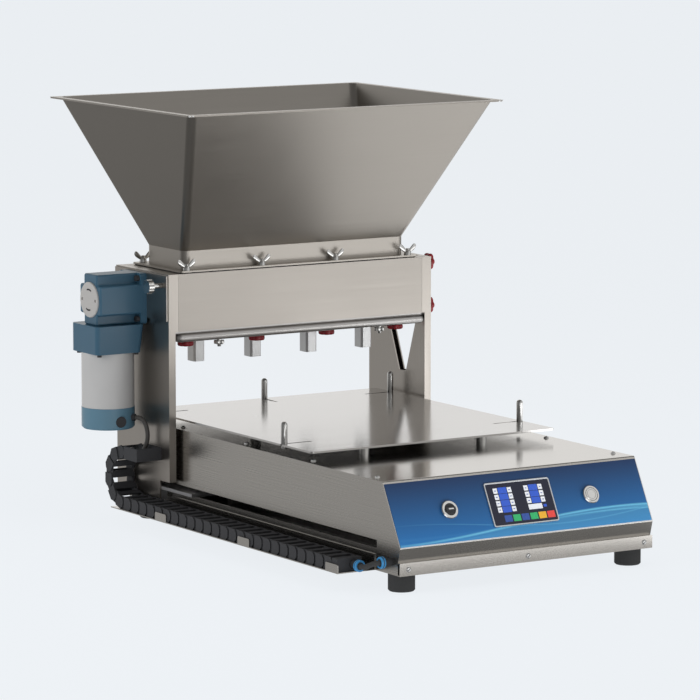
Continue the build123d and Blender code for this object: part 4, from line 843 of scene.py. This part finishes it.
class DEPOSITOR_OT_panel(bpy.types.Operator):
    """Print the control film and light the screen"""
    bl_idname = "depositor.panel"
    bl_label = "Control panel"

    def execute(self, context):
        finish_node("panel_overlay", panel_film(settings().panel))
        finish_node("screen_glass", clear_gloss("screen_glass", (0.006, 0.008, 0.03)))
        finish_node("control_bezels", bright_steel())
        finish_node("start_button", bright_steel())
        finish_node("selector_knob", black_plastic())
        self.screen_rim()
        self.screen_fields()
        self.film_edge_highlight()
        self.control_marks()
        return {"FINISHED"}

    def screen_rim(self):
        """The screen's thin frame with rounded corners, and the module behind it."""
        bm = bmesh.new()
        rings = [
            rounded_rectangle(width * MM, height * MM, radius * MM, lift * MM)
            for width, height, radius, lift in SCREEN_RINGS
        ]
        place = on_slope(1.5, CONTROL_S)
        skin(bm, rings, place, closed=True)
        skin(bm, [
            rounded_rectangle(112.0 * MM, 65.0 * MM, 1.0 * MM, lift * MM) for lift in (-20.0, 1.0)
        ], place)
        rim = machined_steel("screen_rim", (0.78, 0.80, 0.83), 0.28)
        smooth_by_angle(piece("screen_frame", bm, rim, "base", ("touch_screen",)))

    def film_edge_highlight(self):
        """A thin white strip along the film's lower edge, a painted highlight on that edge."""
        bm = bmesh.new()
        low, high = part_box("panel_overlay")
        half = (high.x - low.x) / 2
        middle_x = (low.x + high.x) / 2 - MACHINE_ZERO.x
        block(
            bm, (middle_x - half, -1.1 * MM, 0.0), (middle_x + half, -0.1 * MM, 0.7 * MM),
            on_slope(0.0, 1.5),
        )
        # Painted highlight: a white strip along the film's lower edge.
        edge = clear_gloss("film_edge_highlight", (0.85, 0.88, 0.90), 0.3)
        piece("film_lower_highlight", bm, edge, "base", smooth=False)

    def control_marks(self):
        """A light mark on the selector, and a thin dark ring round the start button, painted shade
        standing for its fine groove.
        """
        bm = bmesh.new()
        half_length, half_width, thickness, lift = SELECTOR_MARK
        block(
            bm, (-half_length * MM, -half_width * MM, 0.0),
            (half_length * MM, half_width * MM, thickness * MM),
            on_slope(-CONTROL_X, CONTROL_S, lift),
        )
        white = clear_gloss("mark_white", (0.80, 0.80, 0.78), 0.3)
        piece("selector_mark", bm, white, "selector_knob", smooth=False)
        bm = bmesh.new()
        inner, outer, height, lift = BUTTON_GROOVE
        profile = ((inner, 0.0), (inner, height), (outer, height), (outer, 0.0))
        rings = [(r * MM, z * MM) for r, z in profile]
        turned(bm, rings, on_slope(CONTROL_X, CONTROL_S, lift), 64, closed=True)
        # Painted shade: a dark ring stands for the groove's recess.
        groove = machined_steel("groove_shade_steel", (0.22, 0.22, 0.23), 0.4)
        piece("start_button_groove", bm, groove, "start_button")

    def screen_fields(self):
        """Coloured fields and keys shown on the screen, as thin tiles on the glass."""
        up, out = slope_axes()
        low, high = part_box("screen_glass")
        centre = (low + high) / 2
        width = high.x - low.x
        thickness = 1.2 * MM
        height = (high.z - low.z - thickness * out.z) / up.z
        place = axes_at(centre + out * thickness * 0.5, (1, 0, 0), out)
        materials = []
        for name, colour in SCREEN_COLOURS:
            finish = Finish(name, colour, 0.25)
            finish.set("Emission Color", (*colour, 1.0))
            finish.set("Emission Strength", 0.25)
            finish.drive("Roughness", finish.spread(finish.noise(50.0), 0.2, 0.3))
            materials.append(finish.material)
        bm = bmesh.new()

        def tile(u0, u1, v0, v1, index, lift=0.08 * MM):
            x0, x1 = ((u - 0.5) * width for u in (u0, u1))
            y0, y1 = ((v - 0.5) * height for v in (v0, v1))
            block(bm, (x0, y0, 0.0), (x1, y1, lift), place, index)

        for column, left in enumerate((0.10, 0.59)):
            for row in range(4):
                v0 = 0.30 + row * 0.155
                v1 = v0 + 0.125
                if column == 1 and row == 0:
                    tile(left, left + 0.22, v0, v1, WHITE)
                    tile(left + 0.24, left + 0.29, v0 + 0.03, v1 - 0.03, BLUE)
                    continue
                tile(left, left + 0.065, v0, v1, WHITE)
                tile(left + 0.075, left + 0.215, v0 - 0.01, v1 + 0.01, BLUE)
                tile(left + 0.225, left + 0.29, v0, v1, WHITE)
                centre_v = (v0 + v1) / 2
                for start in (0.018, 0.243):
                    u0, u1 = left + start, left + start + 0.029
                    tile(u0, u1, centre_v - 0.01, centre_v + 0.01, NAVY, 0.12 * MM)
        for i, index in enumerate((NAVY, GREEN, NAVY, GREEN, AMBER, RED)):
            left = 0.17 + i * 0.137
            tile(left, left + 0.118, 0.06, 0.22, index)
        piece("screen_fields", bm, materials, "base", smooth=False)


class DEPOSITOR_OT_knobs(bpy.types.Operator):
    """Build the lobed hand knobs"""
    bl_idname = "depositor.knobs"
    bl_label = "Hand knobs"

    def execute(self, context):
        knob = settings().knob
        red = clear_gloss("knob_red", tuple(knob.colour), 0.28)
        profile = [(share * KNOB_RADIUS * MM, z * MM) for share, z in KNOB_PROFILE]
        for name in KNOBS:
            low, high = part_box(name)
            centre = middle(name)
            if name.startswith("side"):
                place = axes_at(Vector((high.x, centre.y, centre.z)), (0, 1, 0), (-1, 0, 0))
            else:
                place = axes_at(Vector((centre.x, centre.y, low.z)), (1, 0, 0), (0, 0, 1))
            bm = bmesh.new()
            turned(bm, profile, place, 96, knob.lobes, knob.dent)
            obj = piece(name + "_grip", bm, red, name, (name,))
            smooth_by_angle(obj, 50.0)
        return {"FINISHED"}


class DEPOSITOR_OT_pins(bpy.types.Operator):
    """Turn the locating pins with their rounded tops"""
    bl_idname = "depositor.pins"
    bl_label = "Locating pins"

    def execute(self, context):
        plate_low, plate_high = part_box("tray_plate")
        foot = plate_high.z + 0.05 * MM
        nut_top = plate_low.z - 0.05 * MM
        for name in PINS:
            low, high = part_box(name)
            centre = (low + high) / 2
            r = (high.x - low.x) / 2
            profile = [
                (0.86 * r, low.z), (0.90 * r, low.z + 0.4 * MM), (0.90 * r, nut_top),
                (0.40 * r, nut_top), (0.40 * r, foot), (0.97 * r, foot), (r, foot + 0.4 * MM),
            ]
            for i in range(9):
                angle = math.radians(84.0 * i / 8)
                profile.append((r * math.cos(angle), high.z - r + r * math.sin(angle)))
            bm = bmesh.new()
            turned(bm, profile, Matrix.Translation((centre.x, centre.y, 0.0)), 40)
            pin = piece(name + "_turned", bm, bright_steel(), name, (name,))
            smooth_by_angle(pin, 40.0)
        return {"FINISHED"}


class DEPOSITOR_OT_nuts(bpy.types.Operator):
    """Build the wing nuts, the star nuts and the screw heads"""
    bl_idname = "depositor.nuts"
    bl_label = "Nuts and screws"

    def execute(self, context):
        bm = bmesh.new()
        for x in WING_NUT_X:
            for y in WING_NUT_Y:
                self.wing_nut(bm, x, y)
        for x in STAR_NUT_X:
            self.star_nut(bm, x, STAR_NUT_Y)
        nuts = piece("hand_nuts_fine", bm, bright_steel(), "gantry", ("hand_nuts",))
        smooth_by_angle(nuts, 45.0)
        self.screw_heads()
        self.rim_glint_beads()
        return {"FINISHED"}

    def wing_nut(self, bm, x, y):
        """A cast wing nut with two rounded paddles, on its stud."""
        place = Matrix.Translation(at(x, y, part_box("hand_nuts")[1].z / MM - WING_NUT_HEIGHT))
        hub = ((6.0, 0.0), (6.0, 0.8), (5.6, 3.0), (5.0, 6.4), (4.3, 7.0))
        turned(bm, [(r * MM, z * MM) for r, z in hub], place, 32)
        stud = [(3.0 * MM, 6.5 * MM)]
        for i in range(4):
            stud += [(2.7 * MM, (7.0 + 0.8 * i) * MM), (3.0 * MM, (7.4 + 0.8 * i) * MM)]
        turned(bm, [*stud, (2.4 * MM, 10.4 * MM)], place, 24)
        for side in (-1.0, 1.0):
            lofted(bm, [
                (side * px * MM, pz * MM, wide * MM, thick * MM, side * (lean - math.pi / 2))
                for px, pz, wide, thick, lean in PADDLE
            ], place)

    def star_nut(self, bm, x, y):
        """A five-lobed nut and its stud, under the nozzle plate."""
        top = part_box("nozzle_plate")[0].z / MM
        profile = ((7.6, -8.0), (8.5, -7.2), (8.5, -2.8), (7.6, -2.0))
        place = Matrix.Translation(at(x, y, top))
        turned(bm, [(r * MM, z * MM) for r, z in profile], place, 80, 5, 0.26)
        turned(bm, [(2.4 * MM, -12.0 * MM), (3.0 * MM, -11.4 * MM), (3.0 * MM, 0.0)], place, 24)

    def screw_heads(self):
        """Domed slotted heads over the screws of the deck and the lip."""
        domes = bmesh.new()
        slots = bmesh.new()
        deck_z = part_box("tray_posts")[0].z / MM
        lip_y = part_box("base_screws")[0].y
        for x in DECK_SCREW_X:
            for y in DECK_SCREW_Y:
                self.dome(domes, slots, Matrix.Translation(at(x, y, deck_z)), 4.0, 2.8, 0.4)
        for x, turn in LIP_SCREWS:
            place = at(x, 0.0, LIP_SCREW_Z)
            place.y = lip_y + 1.5 * MM
            head = axes_at(place, (math.cos(turn), 0, math.sin(turn)), (0, -1, 0))
            self.dome(domes, slots, head, 4.3, 2.0, 0.0)
        # Painted highlight: the screw heads take the whitened steel.
        heads = piece("case_screw_heads", domes, polished_steel(), "base")
        smooth_by_angle(heads, 50.0)
        # Painted shade: the slots are dark blocks, not cut recesses.
        dark = shared("screw_slot", moulded, (0.02, 0.02, 0.02), 0.6)
        piece("case_screw_slots", slots, dark, "base", smooth=False)

    def dome(self, domes, slots, place, radius, height, turn):
        """A domed head and a dark block in its slot, painted shade standing for the slot's recess.
        """
        profile = [(radius * MM, 0.0)]
        for i in range(1, 7):
            angle = math.radians(84.0 * i / 6)
            profile.append((radius * MM * math.cos(angle), height * MM * math.sin(angle)))
        turned(domes, profile, place, 28)
        slot = place @ Matrix.Rotation(turn, 4, "Z")
        half = 0.62 * radius * MM
        foot, top = 0.5 * height * MM, 1.02 * height * MM
        block(slots, (-half, -0.5 * MM, foot), (half, 0.5 * MM, top), slot)

    def rim_glint_beads(self):
        """Weld beads at the front corners of the hopper's rim, whitened as painted highlights for
        the glints on those corners.
        """
        low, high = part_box("hopper")
        bm = bmesh.new()
        for corner_x, side in ((low.x, 1.0), (high.x, -1.0)):
            for step in (3.0, 8.5):
                centre = Vector((corner_x + side * step * MM, low.y, high.z - 1.2 * MM))
                profile = []
                for i in range(9):
                    angle = math.radians(-80.0 + 20.0 * i)
                    profile.append((2.0 * MM * math.cos(angle), 1.2 * MM * math.sin(angle)))
                turned(bm, profile, Matrix.Translation(centre), 20)
        # Painted highlight: whitened beads for the glints on the rim's corners.
        piece("rim_glint_beads", bm, polished_steel(), "gantry")


class DEPOSITOR_OT_motor(bpy.types.Operator):
    """Finish the gearmotor"""
    bl_idname = "depositor.motor"
    bl_label = "Gearmotor"

    def execute(self, context):
        motor = settings().motor
        paint = enamel("motor_paint", tuple(motor.paint), 0.36)
        silver = enamel("motor_silver", tuple(motor.silver), 0.38, 4e-6)
        # The end cap's paint is the motor paint lightened, painted light for the light it catches.
        cap_lit_paint = enamel("cap_lit_paint", tuple(motor.cap_lit_paint), 0.36)
        for name, material in (
            ("gearhead", paint), ("motor_endcap", cap_lit_paint), ("motor_can", silver),
            ("output_cap", shared("cap_silver", enamel, (0.52, 0.50, 0.48), 0.35)),
            ("motor_screws", black_plastic()), ("motor_plugs", black_plastic()),
        ):
            finish_node(name, material, motor.edge_round if name == "gearhead" else 0.0)
        self.cap_slots()
        return {"FINISHED"}

    def cap_slots(self):
        """Two curved key slots in the face of the output cap."""
        low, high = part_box("output_cap")
        centre = (low + high) / 2
        bm = bmesh.new()
        place = axes_at(Vector((low.x, centre.y, centre.z)), (0, 1, 0), (-1, 0, 0))
        for start in (60.0, 240.0):
            rings = []
            for i in range(13):
                angle = math.radians(start + 50.0 * i / 12)
                rings.append([
                    (r * MM * math.cos(angle), r * MM * math.sin(angle), z * MM)
                    for r, z in ((15.0, -0.3), (17.5, -0.3), (17.5, 0.1), (15.0, 0.1))
                ])
            skin(bm, rings, place)
        dark = moulded("slot_shadow", (0.03, 0.03, 0.032), 0.6)
        piece("output_cap_slots", bm, dark, "gantry", smooth=False)


class DEPOSITOR_OT_cables(bpy.types.Operator):
    """Finish the cable chain, its fittings and its hose"""
    bl_idname = "depositor.cables"
    bl_label = "Cables"

    def execute(self, context):
        finish_node("cable_chain", black_plastic())
        finish_node("hose_fittings", black_plastic())
        finish_node("front_hose", black_rubber())
        lead = moulded("lead_sheath", (0.085, 0.080, 0.075), 0.38)
        self.motor_lead(lead)
        self.fitting_rings()
        return {"FINISHED"}

    def motor_lead(self, material):
        """One smooth NURBS line along the lead's route, as thick as the lead."""
        curve = bpy.data.curves.new("motor_lead_line", "CURVE")
        curve.dimensions = "3D"
        curve.bevel_depth = MOTOR_LEAD_R * MM
        curve.bevel_resolution = 6
        curve.resolution_u = 16
        curve.use_fill_caps = True
        spline = curve.splines.new("NURBS")
        spline.points.add(len(MOTOR_LEAD) - 1)
        for point, place in zip(spline.points, MOTOR_LEAD):
            point.co = (*at(*place), 1.0)
        spline.order_u = 3
        spline.use_endpoint_u = True
        curve.materials.append(material)
        lead = bpy.data.objects.new("motor_lead_line", curve)
        bpy.context.scene.collection.objects.link(lead)
        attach(lead, "gantry")
        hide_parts("motor_lead")

    def fitting_rings(self):
        """Blue release rings on the push-in fittings."""
        bm = bmesh.new()
        rings = [(r * MM, z * MM) for r, z in RING_PROFILE]
        for place, x_axis, z_axis in FITTINGS:
            turned(bm, rings, axes_at(at(*place), x_axis, z_axis), 40, closed=True)
        blue = clear_gloss("fitting_blue", (0.06, 0.33, 0.68), 0.3)
        smooth_by_angle(piece("fitting_rings", bm, blue, "base"), 40.0)


OPERATORS = (
    DEPOSITOR_OT_stage, DEPOSITOR_OT_sheet_metal, DEPOSITOR_OT_inner_parts, DEPOSITOR_OT_panel,
    DEPOSITOR_OT_knobs, DEPOSITOR_OT_pins, DEPOSITOR_OT_nuts, DEPOSITOR_OT_motor,
    DEPOSITOR_OT_cables,
)


class DEPOSITOR_PT_looks(bpy.types.Panel):
    """Settings and builders of the batter depositor"""
    bl_label = "Depositor"
    bl_idname = "DEPOSITOR_PT_looks"
    bl_space_type = "VIEW_3D"
    bl_region_type = "UI"
    bl_category = "Depositor"

    def draw(self, context):
        for name, group in GROUPS:
            box = self.layout.box()
            box.label(text=group.__doc__)
            values = getattr(context.scene.depositor, name)
            for key in group.__annotations__:
                box.prop(values, key)
        for operator in OPERATORS:
            self.layout.operator(operator.bl_idname)


CLASSES = [group for name, group in GROUPS] + [DepositorSettings, *OPERATORS, DEPOSITOR_PT_looks]


def register():
    for entry in CLASSES:
        bpy.utils.register_class(entry)
    bpy.types.Scene.depositor = PointerProperty(type=DepositorSettings)


def unregister():
    del bpy.types.Scene.depositor
    for entry in reversed(CLASSES):
        bpy.utils.unregister_class(entry)


def main():
    register()
    for operator in OPERATORS:
        call = getattr(bpy.ops.depositor, operator.bl_idname.split(".")[1])
        call()


if __name__ == "__main__":
    main()
